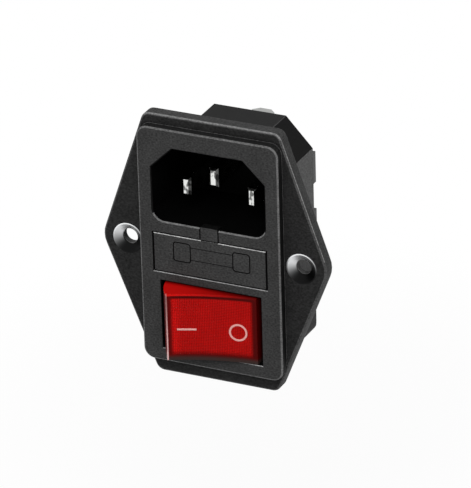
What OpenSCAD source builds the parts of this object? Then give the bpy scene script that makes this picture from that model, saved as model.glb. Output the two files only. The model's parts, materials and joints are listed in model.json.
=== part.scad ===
// Panel power inlet with a fuse drawer and a lit rocker switch.
// Seen from the front, X runs to the right and Z up; Y runs into the panel.
// The origin lies midway between the screw holes, on the back of the flange.

/* [Panel flange] */
// Thickness of the flange
flange_t = 2.8; // [2.4:0.1:3.6]
// Half height of the flange
flange_half_h = 27.7; // [26.9:0.1:30]
// Half width of the flange's top edge
flange_top_half = 14.4; // [13.5:0.1:16]
// Half width of the flange's bottom edge
flange_bottom_half = 13; // [12:0.1:15]
// Distance from the middle to the sharp point of an ear
ear_half = 24.2; // [23.4:0.1:27]
// Radius of the flange's top and bottom corners
corner_r = 1.9; // [1.5:0.1:4]
// Radius of an ear's tip
ear_r = 5.2; // [3.8:0.1:6]
// Rounding of the flange's front edge
flange_edge_r = 0.4; // [0.2:0.1:1]
// Distance between the two screw holes
screw_pitch = 37.2; // [36.8:0.1:38]
// Diameter of a screw hole
screw_hole_d = 3.2; // [3:0.1:3.6]
// Diameter of the countersink at the flange's front
sink_d = 5.9; // [5.6:0.1:6.6]
// Depth of the countersink
sink_depth = 1.1; // [0.8:0.1:1.3]
// Thickness of the metal eyelet in a screw hole
eyelet_t = 0.25; // [0.2:0.05:0.4]
// Length of the eyelet's barrel behind its cone
eyelet_barrel = 0.3; // [0.2:0.1:0.8]

/* [Bezel] */
// Width of the raised bezel
bezel_w = 30; // [29:0.1:31]
// Height of the raised bezel
bezel_h = 50; // [49.5:0.1:52]
// How far the bezel stands in front of the flange
bezel_rise = 2; // [1.5:0.1:3]
// Height of the bezel's middle above the screw holes
bezel_z = 0.7; // [0:0.1:1]
// Radius of the bezel's corners
bezel_r = 2.3; // [1:0.1:3]
// Rounding of the bezel's front edge
bezel_edge_r = 0.3; // [0.2:0.05:0.8]
// Width of the bevel around the drawer and the mouths of the two bays
mouth_bevel = 0.12; // [0.05:0.01:0.2]

/* [Body] */
// Width of the body behind the panel
body_w = 26.5; // [26.3:0.1:27.4]
// Height of the body's top above the screw holes
body_top = 23.1; // [22.9:0.1:24]
// Width of the flat along the body's top
body_top_w = 15.4; // [15:0.1:17]
// Height at which the body's slanted shoulders end
body_side_z = 17.1; // [17:0.1:18]
// Drop of the body's bottom below the screw holes
body_drop = 22.6; // [22.4:0.1:23.6]
// Rounding of the body's lower corners
body_corner_r = 1.7; // [1:0.1:2]
// Depth of the body behind the panel
body_depth = 15.2; // [14.8:0.1:17]
// Wall beside the wide rear part of the rocker's bay
bay_side_wall = 1.25; // [1:0.05:1.5]

/* [Inlet recess] */
// Width of the recess
recess_w = 24; // [23.8:0.1:24.2]
// Height of the recess
recess_h = 15.7; // [15.5:0.1:15.9]
// Height of the recess's middle above the screw holes
recess_z = 13.85; // [13.7:0.05:14]
// Width of the recess's top edge between its slanted corners
recess_top_w = 14.8; // [14:0.1:15]
// Height of the slanted corners
recess_key_h = 4.4; // [4:0.1:5]
// Radius of the recess's lower corners
recess_r = 2.4; // [1:0.1:3]
// Depth of the recess behind the bezel's front
recess_depth = 16.8; // [16:0.1:17]
// Width of the bevel around the recess's mouth
recess_bevel = 0.25; // [0.1:0.05:0.4]
// Thickness of the recess's floor
floor_t = 1.6; // [1.2:0.1:1.8]

/* [Inlet pins] */
// Width of a pin
pin_w = 2; // [1.8:0.1:2.2]
// Height of a pin
pin_h = 4; // [3.8:0.1:4.2]
// Distance between the line and neutral pins
pin_pitch = 14; // [13.5:0.1:14.5]
// Height of the earth pin above the other two
earth_rise = 4; // [3.8:0.1:4.2]
// How far the line and neutral tips lie behind the bezel's front
pin_setback = 4.8; // [4:0.1:6]
// How far the earth pin's tip stands ahead of the others
earth_lead = 2.2; // [1:0.1:3]
// Bevel at the tip of a pin
pin_bevel = 0.5; // [0.2:0.05:0.7]

/* [Fuse drawer] */
// Width of the drawer's front
drawer_w = 24; // [23.6:0.1:24.3]
// Height of the drawer's front
drawer_h = 8.1; // [8:0.05:8.3]
// Height of the drawer's middle above the screw holes
drawer_z = -0.72; // [-0.8:0.02:-0.6]
// Thickness of the drawer's front
drawer_front_t = 1.6; // [1.2:0.1:2]
// Thickness of the drawer's side walls
drawer_side_t = 1.3; // [1:0.1:1.5]
// Width of the pull tab
pull_w = 3.6; // [3:0.1:5]
// Depth of the pull tab
pull_depth = 2; // [1.8:0.1:4]
// How far the pull tab stands into the recess
pull_lip = 0.2; // [0.2:0.05:0.6]
// Distance between the middles of the engraved fuse symbol's caps
symbol_pitch = 12.7; // [11:0.1:14]
// Width of a cap of the fuse symbol
symbol_cap_w = 3.6; // [3:0.1:4.2]
// Height of a cap of the fuse symbol
symbol_cap_h = 4; // [3.4:0.1:4.8]
// Offset of the fuse symbol to the right
symbol_x = 0.4; // [0:0.1:0.8]
// Offset of the fuse symbol above the drawer's middle
symbol_rise = 0.75; // [0:0.05:1]
// Width of the engraved outline lines
engrave_w = 0.22; // [0.15:0.01:0.35]
// Depth of the engraved outline lines
engrave_depth = 0.18; // [0.1:0.01:0.3]

/* [Fuses] */
// Room between a fuse's end and the side of the drawer's front
fuse_room = 2; // [1.9:0.05:2.2]
// Diameter of a fuse's metal caps
fuse_d = 5.2; // [5:0.1:5.3]
// Diameter of a fuse's glass tube
glass_d = 4.7; // [4.4:0.1:4.8]
// Wall of the glass tube
glass_wall = 0.7; // [0.5:0.1:0.9]
// Length of a fuse's cap
cap_l = 5.2; // [4.8:0.1:6]
// Diameter of the fuse wire
wire_d = 0.3; // [0.2:0.05:0.5]

/* [Rocker] */
// Width of the rocker's opening
opening_w = 21.5; // [21.2:0.1:22]
// Height of the rocker's opening
opening_h = 14.8; // [14.6:0.1:14.9]
// Drop of the opening's middle below the screw holes
opening_drop = 14.15; // [14.1:0.05:14.2]
// Distance from the pivot to the rocker's end faces
rocker_r = 9.9; // [9.5:0.1:10.2]
// Distance from the pivot to the rocker's front corners
rocker_rise = 4.35; // [4:0.05:5]
// Depth of the hollow in the rocker's front
rocker_dish = 0.8; // [0.4:0.1:1.2]
// How far the rocker's skirt reaches behind the pivot
rocker_skirt = 1.6; // [1.3:0.1:2]
// Wall of the rocker
rocker_wall = 1.2; // [0.9:0.1:1.4]
// Angle of the rocker to the panel in either position
rocker_tilt = 16; // [12:0.5:18]
// Depth of the pivot behind the bezel's front
pivot_depth = 1.67; // [1.6:0.01:2]
// Diameter of the rocker's pivot pins
pivot_d = 2; // [1.6:0.1:2.2]
// Length of a pivot pin inside the housing
pivot_l = 1; // [0.7:0.1:1.2]

/* [Switch contacts] */
// Distance between the switch's two poles
pole_pitch = 7.2; // [7:0.1:7.6]
// Diameter of a plunger
plunger_d = 2.6; // [2.2:0.1:2.8]
// Distance from the pivot to a plunger's tip
plunger_reach = 7.5; // [7.3:0.1:8.4]
// Sliding travel of a plunger
plunger_stroke = 0.5; // [0.3:0.1:0.8]
// Length of a plunger that stands out of its post
plunger_bare_l = 2.9; // [2.6:0.1:3.2]
// Length of a plunger's thick part inside its post
plunger_held_l = 2.4; // [2:0.1:2.6]
// Length of the stem inside a plunger's spring
plunger_stem_l = 1.6; // [1.2:0.1:2]
// Wall of the post that guides a plunger
post_wall = 0.65; // [0.5:0.05:0.8]
// Wire of a plunger spring
spring_wire_d = 0.32; // [0.24:0.02:0.4]
// Turns of a plunger spring
spring_turns = 5; // [4:1:7]
// Thickness of a contact lever
lever_t = 0.6; // [0.5:0.05:0.8]
// Width of a contact lever
lever_w = 4.2; // [3.8:0.1:4.4]
// Length of a lever's open arm
lever_open_arm = 6.4; // [6:0.1:7]
// Length of a lever's contact arm
lever_contact_arm = 7.3; // [7.2:0.1:7.8]
// Rise of a lever's arms towards the rocker
lever_dish = 0.3; // [0.2:0.05:0.4]
// Angle of a lever to the panel in either position
lever_tilt = 7.5; // [5:0.5:9]
// Distance from the fulcrum to the contacts
contact_x = 6; // [5.6:0.1:6.2]
// Diameter of a contact rivet
contact_d = 2.2; // [1.8:0.1:2.4]
// Height of a contact rivet's head
contact_h = 0.8; // [0.6:0.1:1]

/* [Lamp] */
// Diameter of the neon lamp
lamp_d = 3.4; // [3:0.1:3.6]
// Length of the neon lamp
lamp_l = 8.4; // [7:0.1:9]
// Distance from the middle to the lamp's axis
lamp_x = 4.9; // [4.7:0.1:5.2]
// Diameter of the series resistor
resistor_d = 1.8; // [1.6:0.1:2.2]
// Length of the series resistor
resistor_l = 4; // [3.4:0.1:5]
// Diameter of the lamp's leads
lead_d = 0.36; // [0.3:0.02:0.44]

/* [Terminals] */
// Width of a terminal tab
blade_w = 4.8; // [4.4:0.1:5]
// Thickness of a terminal tab
blade_t = 0.8; // [0.6:0.1:1]
// Reach of the tabs behind the body
blade_reach = 7.2; // [6:0.1:9]
// Diameter of the hole in a tab
blade_hole_d = 1.5; // [1.2:0.1:1.8]
// Height of the earth tab above the screw holes
earth_tab_z = 19.9; // [19.6:0.1:20.2]
// Thickness of the fuse contact springs
leaf_t = 0.5; // [0.4:0.05:0.6]
// Width of the fuse contact springs
leaf_w = 3.6; // [3:0.1:4]
// Width of the strip that leads down from the line pin
strip_w = 2.6; // [2.4:0.1:3]

/* [Rear cover] */
// Thickness of the cover's outer plate
cover_t = 1.2; // [1:0.1:1.6]
// Height of the plate's top edge above the screw holes
cover_top = 15.9; // [15.5:0.1:16.5]
// Drop of the plate's bottom edge below the screw holes
cover_drop = 15.5; // [15:0.1:16]
// Height of the middle of the side notches
notch_z = 6.5; // [6:0.1:7]
// Height of the side notches
notch_h = 5.7; // [5:0.1:6]
// Depth of the side notches
notch_depth = 1.5; // [1:0.1:1.8]
// Width of a latch arm
latch_w = 2.4; // [2:0.1:3]
// Thickness of the plug that closes the switch bay
plug_t = 1.5; // [1.2:0.1:1.8]

/* [Fits] */
// Gap around the fuse drawer
drawer_gap = 0.2; // [0.15:0.01:0.25]
// Gap between the rocker and the sides of its opening
rocker_gap = 0.25; // [0.2:0.01:0.3]
// Clearance of a pin that turns or slides in its bore
run_gap = 0.05; // [0.03:0.01:0.08]
// Clearance between contacts that meet
contact_gap = 0.04; // [0.03:0.01:0.06]
// Clearance of a fuse in its trough
fuse_gap = 0.1; // [0.08:0.01:0.15]

/* [Hidden] */

$fn = 48;
cut = 1;

black = "#2b2c2d";
dark = "#1b1c1d";
red = "#d3110c";
brass = "#c9a04e";
bright = "#c8cacb";
copper = "#b86f43";
silver = "#dcdddf";

// Planes across the depth
bezel_y = -flange_t - bezel_rise;
floor_y = bezel_y + recess_depth;
floor_back_y = floor_y + floor_t;
cover_back_y = body_depth + cover_t;
blade_tip_y = body_depth + blade_reach;

// Inlet recess and pins
recess_low_z = recess_z - recess_h / 2;
recess_top_z = recess_z + recess_h / 2;
power_pin_z = recess_z - earth_rise / 2;
earth_pin_z = recess_z + earth_rise / 2;
power_tip_y = bezel_y + pin_setback;
earth_tip_y = power_tip_y - earth_lead;
strip_t = leaf_t;
shoulder_y = floor_back_y + 0.1;
strip_back_y = shoulder_y + strip_t;

// Fuse drawer and its bay
drawer_top_z = drawer_z + drawer_h / 2;
drawer_low_z = drawer_z - drawer_h / 2;
bay_w = drawer_w + 2 * drawer_gap;
bay_h = drawer_h + 2 * drawer_gap;
fuse_l = drawer_w - 2 * fuse_room;
trough_d = fuse_d + 2 * fuse_gap;
spare_y = bezel_y + drawer_front_t + trough_d / 2 + fuse_gap;
fuse_y = spare_y + trough_d + 0.8;
tray_back_y = fuse_y + trough_d / 2 - 0.6;
keeper_back_y = fuse_y + trough_d / 2 + 0.5;
keeper_half = fuse_l / 2 - cap_l - 0.3;
bay_back_y = fuse_y + fuse_d / 2 + 1.1;
bay_wall_back_y = bay_back_y + 1.2;
leaf_x = fuse_l / 2 + 0.3 - leaf_w / 2;
leaf_front_y = fuse_y + fuse_d / 2 + 0.1;
leaf_root_z = drawer_z - fuse_d / 2 - 0.1;
leaf_free_z = drawer_z + fuse_d / 2 + 0.4;

// Rocker and its bay
opening_z = -opening_drop;
pivot_y = bezel_y + pivot_depth;
rocker_h = opening_h - 2 * rocker_gap;
rocker_chord = sqrt(pow(rocker_r, 2) - pow(rocker_rise, 2));
dish_r = (pow(rocker_chord, 2) + pow(rocker_dish, 2)) / (2 * rocker_dish);
rocker_lens_t = rocker_wall + 0.1;
post_front = -rocker_rise + rocker_dish + rocker_lens_t;
post_back = plunger_reach - plunger_bare_l;
post_bore_r = plunger_d / 2 + run_gap;
post_r = post_bore_r + post_wall;
shoulder = post_back - plunger_held_l;
stem_r = 0.6;
spring_r = (stem_r + run_gap + post_bore_r) / 2;
lamp_y = post_front + 0.55 + lamp_d / 2;
lead_y = post_front + lead_d / 2 + 0.05;
electrode_x = 0.6;
lamp_foot_z = -lamp_l / 2 + lamp_d / 4;
bay_side_w = body_w - 2 * bay_side_wall;
bay_step_y = 2.6;
pole_z = [opening_z + pole_pitch / 2, opening_z - pole_pitch / 2];

// Contact levers turn about the tips of the common terminals
fulcrum_y = pivot_y + plunger_reach + run_gap + lever_t;
contact_tip_r = contact_d / 4;
contact_face = contact_h - lever_dish;
fixed_face_y = fulcrum_y + contact_x * sin(lever_tilt) + contact_face * cos(lever_tilt)
    + contact_tip_r * sin(lever_tilt) + contact_gap;
fixed_h = 0.6;
shelf_y = fixed_face_y + fixed_h;
switched_x = contact_x + contact_d / 2 + 1.3;
fork_w = lever_w;
neck_half = lever_w / 2 - 0.95;
fork_half_x = blade_t / 2;
plug_front_y = body_depth - plug_t;
stop_y = fulcrum_y + lever_open_arm * sin(lever_tilt) - lever_dish * cos(lever_tilt) + 0.1;

// Two dimensional outlines drawn across X and Z

function unit(v) = v / norm(v);

// Centre of the circle of radius r that rounds the corner at p
function corner_centre(a, p, b, r) =
    let (u = unit(a - p), v = unit(b - p))
    p + unit(u + v) * r / sqrt((1 - u * v) / 2);

module slab(y0, y1) {
    translate([0, y1, 0]) rotate([90, 0, 0]) linear_extrude(y1 - y0) children();
}

module block(x0, x1, y0, y1, z0, z1) {
    translate([x0, y0, z0]) cube([x1 - x0, y1 - y0, z1 - z0]);
}

module keyed_outline(half_w, z_low, z_side, half_top, z_top, r) {
    polygon([[-half_w, z_low + r], [-half_w, z_side], [-half_top, z_top], [half_top, z_top],
             [half_w, z_side], [half_w, z_low + r], [half_w - r, z_low], [r - half_w, z_low]]);
    for (s = [-1, 1]) translate([s * (half_w - r), z_low + r]) circle(r);
}

module rounded_box(w, h, r) {
    square([w, h - 2 * r], center = true);
    square([w - 2 * r, h], center = true);
    for (x = [-1, 1], z = [-1, 1]) translate([x * (w / 2 - r), z * (h / 2 - r)]) circle(r);
}

module along_y(y0, y1, r) {
    translate([0, y0, 0]) rotate([-90, 0, 0]) cylinder(h = y1 - y0, r = r);
}

// Tube swept along points; ref is a direction that the path never takes
module tube(points, r, ref, sides = 6) {
    last = len(points) - 1;
    rings = [for (i = [0:last])
        let (t = unit(points[min(i + 1, last)] - points[max(i - 1, 0)]),
             n = unit(cross(ref, t)), b = cross(t, n))
        for (k = [0:sides - 1]) points[i] + r * (cos(360 * k / sides) * n + sin(360 * k / sides) * b)];
    walls = [for (i = [0:last - 1], k = [0:sides - 1])
        [i * sides + k, (i + 1) * sides + k, (i + 1) * sides + (k + 1) % sides, i * sides + (k + 1) % sides]];
    polyhedron(rings, concat(walls, [[for (k = [0:sides - 1]) k],
        [for (k = [sides - 1:-1:0]) last * sides + k]]));
}

// Housing: flange, bezel and body are one moulding

module flange_plate() {
    points = [[flange_top_half, flange_half_h], [ear_half, 0], [flange_bottom_half, -flange_half_h],
              [-flange_bottom_half, -flange_half_h], [-ear_half, 0], [-flange_top_half, flange_half_h]];
    radii = [corner_r, ear_r, corner_r, corner_r, ear_r, corner_r];
    count = len(points);
    hull() for (a = [0:30:90], i = [0:count - 1]) {
        c = corner_centre(points[(i + count - 1) % count], points[i], points[(i + 1) % count], radii[i]);
        slab(-flange_t + flange_edge_r * (1 - sin(a)), 0)
            translate(c) circle(radii[i] - flange_edge_r * (1 - cos(a)), $fn = 32);
    }
}

module bezel_plate() {
    hull() for (a = [0:30:90], x = [-1, 1], z = [-1, 1])
        slab(bezel_y + bezel_edge_r * (1 - sin(a)), -flange_edge_r)
            translate([x * (bezel_w / 2 - bezel_r), bezel_z + z * (bezel_h / 2 - bezel_r)])
                circle(bezel_r - bezel_edge_r * (1 - cos(a)), $fn = 32);
}

module recess_outline(grow = 0) {
    keyed_outline(recess_w / 2 + grow, recess_low_z - grow, recess_top_z - recess_key_h + grow / 2,
                  recess_top_w / 2 + grow / 2, recess_top_z + grow, recess_r + grow);
}

// Bevelled mouth of a bay of the width w and height h, on the bezel's face
module mouth_cut(w, h, z) {
    hull() {
        slab(bezel_y - 0.01, bezel_y) translate([0, z])
            square([w + 2 * mouth_bevel, h + 2 * mouth_bevel], center = true);
        slab(bezel_y, bezel_y + mouth_bevel) translate([0, z]) square([w, h], center = true);
    }
}

module recess_cut() {
    slab(bezel_y - cut, floor_y) recess_outline();
    hull() {
        slab(bezel_y - 0.01, bezel_y) recess_outline(recess_bevel);
        slab(bezel_y, bezel_y + recess_bevel) recess_outline();
    }
}

module drawer_bay_cut() {
    slab(bezel_y - cut, bay_back_y) translate([0, drawer_z]) square([bay_w, bay_h], center = true);
    mouth_cut(bay_w, bay_h, drawer_z);
    block(-pull_w / 2 - drawer_gap, pull_w / 2 + drawer_gap, bezel_y - cut,
          bezel_y + pull_depth + drawer_gap, drawer_z, recess_low_z + cut);
    // Slots for the two contact springs, then the pocket behind them
    for (s = [-1, 1])
        block(s * leaf_x - leaf_w / 2 - 0.1, s * leaf_x + leaf_w / 2 + 0.1, bay_back_y - cut,
              bay_wall_back_y + cut, drawer_low_z, leaf_free_z);
    block(-bay_w / 2 + 0.5, bay_w / 2 - 0.5, bay_wall_back_y, body_depth + cut,
          drawer_low_z, drawer_top_z);
}

module rocker_bay_cut() {
    slab(bezel_y - cut, body_depth + cut) translate([0, opening_z])
        square([opening_w, opening_h], center = true);
    mouth_cut(opening_w, opening_h, opening_z);
    slab(bay_step_y, body_depth + cut) translate([0, opening_z])
        square([bay_side_w, opening_h], center = true);
    bore = opening_h + 2 * (pivot_l + 0.15);
    translate([0, pivot_y, opening_z]) cylinder(h = bore, r = pivot_d / 2 + run_gap, center = true);
}

module rear_pockets_cut() {
    // Channel for the strip from the line pin down to the fuse
    block(-pin_pitch / 2 - strip_w / 2 - 0.2, -pin_pitch / 2 + strip_w / 2 + 0.2, floor_back_y,
          body_depth + cut, drawer_z, power_pin_z + pin_h / 2 + 0.6);
    block(pin_pitch / 2 - pin_w, pin_pitch / 2 + pin_w, floor_back_y, body_depth + cut,
          power_pin_z - blade_w / 2 - 0.4, power_pin_z + blade_w / 2 + 0.4);
    block(-blade_w / 2 - 0.4, blade_w / 2 + 0.4, floor_back_y, body_depth + cut,
          earth_pin_z - pin_h / 2 - 0.4, earth_tab_z + blade_t / 2 + 0.4);
}

module eyelet_profile(grow) {
    inner = screw_hole_d / 2 + grow;
    polygon([[0, 0], [sink_d / 2 + grow, 0], [inner, sink_depth],
             [inner, sink_depth + eyelet_barrel], [0, sink_depth + eyelet_barrel]]);
}

module at_screw(side) {
    translate([side * screw_pitch / 2, -flange_t, 0]) rotate([-90, 0, 0]) children();
}

module housing() {
    color(black) difference() {
        union() {
            flange_plate();
            bezel_plate();
            slab(-cut, body_depth)
                keyed_outline(body_w / 2, -body_drop, body_side_z, body_top_w / 2, body_top, body_corner_r);
        }
        recess_cut();
        drawer_bay_cut();
        rocker_bay_cut();
        rear_pockets_cut();
        for (s = [-1, 1]) translate([s * pin_pitch / 2, 0, power_pin_z])
            block(-pin_w / 2, pin_w / 2, floor_y - cut, floor_back_y + cut, -pin_h / 2, pin_h / 2);
        translate([0, 0, earth_pin_z])
            block(-pin_w / 2, pin_w / 2, floor_y - cut, floor_back_y + cut, -pin_h / 2, pin_h / 2);
        for (s = [-1, 1]) {
            translate([s * screw_pitch / 2, 0, 0]) along_y(-flange_t - cut, cut, screw_hole_d / 2);
            at_screw(s) rotate_extrude() eyelet_profile(eyelet_t);
        }
        cover_latches(0.15);
    }
}

module eyelet(side) {
    color(bright) at_screw(side) difference() {
        rotate_extrude() eyelet_profile(eyelet_t);
        translate([0, 0, -0.001]) rotate_extrude() eyelet_profile(0);
        cylinder(h = 2 * flange_t, r = screw_hole_d / 2);
    }
}

module eyelet_left() { eyelet(-1); }

module eyelet_right() { eyelet(1); }

// Rear cover: outer plate, the plug in the switch bay, ribs and latches

module cover_latches(grow = 0) {
    // Latch arms at the side notches, each with a wedge towards the side wall
    arm_t = 1;
    root_y = body_depth + (grow > 0 ? cut : 0);
    ledge_y = body_depth - 1 - grow;
    tip_y = body_depth - 2.2 - grow;
    for (s = [0, 1]) mirror([s, 0, 0])
        translate([body_w / 2 - notch_depth - 1.1, 0, notch_z])
            linear_extrude(latch_w + 2 * grow, center = true)
                polygon([[-grow, root_y], [arm_t + grow, root_y], [arm_t + grow, ledge_y],
                         [arm_t + 0.5 + grow, ledge_y], [arm_t + grow, tip_y], [-grow, tip_y]]);
}

module blade_slot(x, z, flat_x) {
    w = flat_x ? blade_w : blade_t;
    h = flat_x ? blade_t : blade_w;
    block(x - w / 2, x + w / 2, plug_front_y - cut, cover_back_y + cut, z - h / 2, z + h / 2);
}

module rear_cover() {
    color(dark) difference() {
        union() {
            slab(body_depth, cover_back_y) difference() {
                translate([-body_w / 2, -cover_drop]) square([body_w, cover_drop + cover_top]);
                for (s = [-1, 1]) translate([s * body_w / 2, notch_z])
                    square([2 * notch_depth, notch_h], center = true);
            }
            slab(plug_front_y, body_depth) translate([0, opening_z])
                square([bay_side_w - 0.1, opening_h - 0.1], center = true);
            // Rib between the poles and the rests of the open lever arms
            block(-lever_open_arm - 1, switched_x + 1.2, fulcrum_y + 0.6, plug_front_y,
                  opening_z - 0.5, opening_z + 0.5);
            for (z = pole_z)
                block(-lever_open_arm - 0.4, -lever_open_arm + 1.2, stop_y, plug_front_y,
                      z - lever_w / 2, z + lever_w / 2);
            cover_latches();
        }
        blade_slot(pin_pitch / 2, power_pin_z, false);
        block(leaf_x - blade_w / 2, leaf_x + blade_w / 2, plug_front_y - cut, cover_back_y + cut,
              leaf_root_z - blade_t / 2, leaf_root_z + blade_t / 2);
        for (z = pole_z) {
            blade_slot(0, z, false);
            blade_slot(switched_x, z, false);
        }
    }
}

// Inlet pins and terminals

module pin_blade(tip_y, back_y) {
    b = pin_bevel;
    hull() {
        block(-pin_w / 2, pin_w / 2, tip_y + b, back_y, -pin_h / 2, pin_h / 2);
        block(-pin_w / 2 + b, pin_w / 2 - b, tip_y, back_y, -pin_h / 2 + b, pin_h / 2 - b);
    }
}

// Tab with a bevelled tip and a hole, its width along Z and its length along Y
module tab(y0) {
    b = blade_w / 4;
    difference() {
        translate([-blade_t / 2, 0, 0]) rotate([90, 0, 90]) linear_extrude(blade_t)
            polygon([[y0, -blade_w / 2], [blade_tip_y - b, -blade_w / 2], [blade_tip_y, b - blade_w / 2],
                     [blade_tip_y, blade_w / 2 - b], [blade_tip_y - b, blade_w / 2], [y0, blade_w / 2]]);
        translate([0, blade_tip_y - blade_w * 0.6, 0]) rotate([0, 90, 0])
            cylinder(h = 2 * blade_t, r = blade_hole_d / 2, center = true);
    }
}

module earth_pin() {
    color(bright) {
        translate([0, 0, earth_pin_z]) pin_blade(earth_tip_y, shoulder_y);
        block(-blade_w / 2, blade_w / 2, shoulder_y, shoulder_y + blade_t,
              earth_pin_z - pin_h / 2, earth_tab_z + blade_t / 2);
        translate([0, 0, earth_tab_z]) rotate([0, 90, 0]) tab(shoulder_y);
    }
}

module neutral_pin() {
    color(bright) translate([pin_pitch / 2, 0, power_pin_z]) {
        pin_blade(power_tip_y, shoulder_y);
        tab(shoulder_y);
    }
}

module line_pin() {
    color(bright) translate([-pin_pitch / 2, 0, power_pin_z]) {
        pin_blade(power_tip_y, shoulder_y);
        along_y(shoulder_y, strip_back_y + 0.2, pin_w * 0.4);
    }
}

// Contact spring: bowed leaf in the bay and the leg that leads back from it
module leaf(leg_back_y) {
    bow_y = bay_back_y - leaf_t - 0.05;
    translate([-leaf_w / 2, 0, 0]) rotate([90, 0, 90]) linear_extrude(leaf_w)
        polygon([[bow_y, leaf_free_z], [leaf_front_y, drawer_z], [bow_y, leaf_root_z],
                 [leg_back_y, leaf_root_z - leaf_t / 2], [leg_back_y, leaf_root_z + leaf_t / 2],
                 [bow_y + leaf_t * 1.6, leaf_root_z + leaf_t / 2],
                 [leaf_front_y + leaf_t, drawer_z], [bow_y + leaf_t, leaf_free_z]]);
}

module line_contact() {
    color(copper) difference() {
        union() {
            translate([-leaf_x, 0, 0]) leaf(strip_back_y);
            // Foot across the leaf's leg, then the strip up to the pin
            block(-leaf_x - leaf_w / 2, -pin_pitch / 2 + strip_w / 2, shoulder_y, strip_back_y,
                  leaf_root_z - leaf_t / 2, drawer_z);
            block(-pin_pitch / 2 - strip_w / 2, -pin_pitch / 2 + strip_w / 2, shoulder_y, strip_back_y,
                  leaf_root_z, power_pin_z + pin_h / 2 + 0.4);
        }
        translate([-pin_pitch / 2, 0, power_pin_z])
            along_y(shoulder_y - cut, strip_back_y + cut, pin_w * 0.4);
    }
}

module fuse_contact() {
    color(copper) {
        translate([leaf_x, 0, 0]) leaf(bay_wall_back_y + 1);
        translate([leaf_x, 0, leaf_root_z]) rotate([0, 90, 0]) tab(bay_wall_back_y + 0.5);
    }
}

// Fuse drawer

// Outline of a ring of the engraved width around a rounded box
module engraved_box(w, h, r) {
    difference() {
        rounded_box(w + engrave_w, h + engrave_w, r + engrave_w / 2);
        rounded_box(w - engrave_w, h - engrave_w, r - engrave_w / 2);
    }
}

// Fuse symbol: two caps joined by a pair of lines
module fuse_symbol() {
    for (s = [-1, 1]) translate([s * symbol_pitch / 2, 0]) engraved_box(symbol_cap_w, symbol_cap_h, 0.55);
    for (s = [-1, 1]) translate([0, s * symbol_cap_h / 3])
        square([symbol_pitch - symbol_cap_w - engrave_w, engrave_w * 0.6], center = true);
}

module fuse_drawer() {
    inner = fuse_l / 2 + 0.2;
    outer = inner + drawer_side_t;
    color(black) difference() {
        union() {
            hull() {
                slab(bezel_y, bezel_y + mouth_bevel) translate([0, drawer_z])
                    square([drawer_w - 2 * mouth_bevel, drawer_h - 2 * mouth_bevel], center = true);
                slab(bezel_y + mouth_bevel, bezel_y + drawer_front_t) translate([0, drawer_z])
                    square([drawer_w, drawer_h], center = true);
            }
            block(-pull_w / 2, pull_w / 2, bezel_y, bezel_y + drawer_front_t, drawer_z,
                  recess_low_z + pull_lip);
            block(-pull_w / 2, pull_w / 2, bezel_y, bezel_y + pull_depth, drawer_top_z + drawer_gap,
                  recess_low_z);
            block(-outer, outer, bezel_y + drawer_front_t, tray_back_y, drawer_low_z, drawer_z + 1.6);
            block(-keeper_half, keeper_half, tray_back_y - cut, keeper_back_y, drawer_low_z, drawer_z + 0.6);
        }
        for (y = [spare_y, fuse_y]) {
            translate([0, y, drawer_z]) rotate([0, 90, 0])
                cylinder(h = 2 * inner, r = trough_d / 2, center = true);
            block(-inner, inner, y - trough_d / 2, y + trough_d / 2, drawer_z, drawer_top_z);
        }
        slab(bezel_y - cut, bezel_y + engrave_depth) {
            translate([symbol_x, drawer_z + symbol_rise]) fuse_symbol();
            // The drawer's top line runs on across the pull tab
            translate([0, drawer_top_z + drawer_gap / 2]) square([pull_w + cut, drawer_gap], center = true);
        }
    }
}

module glass_tube(y) {
    translate([0, y, drawer_z]) rotate([0, 90, 0]) difference() {
        cylinder(h = fuse_l - 1, r = glass_d / 2, center = true);
        cylinder(h = fuse_l, r = glass_d / 2 - glass_wall, center = true);
    }
}

module cap_pair(y) {
    for (s = [-1, 1]) translate([s * fuse_l / 2, y, drawer_z]) rotate([0, -90 * s, 0]) difference() {
        cylinder(h = cap_l, r = fuse_d / 2);
        translate([0, 0, 0.5]) cylinder(h = cap_l, r = glass_d / 2);
    }
}

module fuse_element(y) {
    translate([0, y, drawer_z]) rotate([0, 90, 0])
        cylinder(h = fuse_l - 1, r = wire_d / 2, center = true, $fn = 16);
}

module fuse_glass() { color("#cfe0df") glass_tube(fuse_y); }

module fuse_caps() { color(bright) cap_pair(fuse_y); }

module fuse_wire() { color(silver) fuse_element(fuse_y); }

module spare_fuse_glass() { color("#cfe0df") glass_tube(spare_y); }

module spare_fuse_caps() { color(bright) cap_pair(spare_y); }

module spare_fuse_wire() { color(silver) fuse_element(spare_y); }

// Rocker, in a frame whose origin is the pivot, turned to its rest position

module at_rocker() {
    translate([0, pivot_y, opening_z]) rotate([0, 0, rocker_tilt]) children();
}

// Section of the rocker across X and Y, shrunk by in on every side
module rocker_section(in, front_in) {
    difference() {
        intersection() {
            circle(rocker_r - in, $fn = 96);
            translate([-rocker_r, -rocker_rise]) square([2 * rocker_r, rocker_rise + rocker_skirt + in]);
        }
        translate([0, -rocker_rise + rocker_dish - dish_r]) circle(dish_r + front_in, $fn = 256);
    }
}

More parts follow.
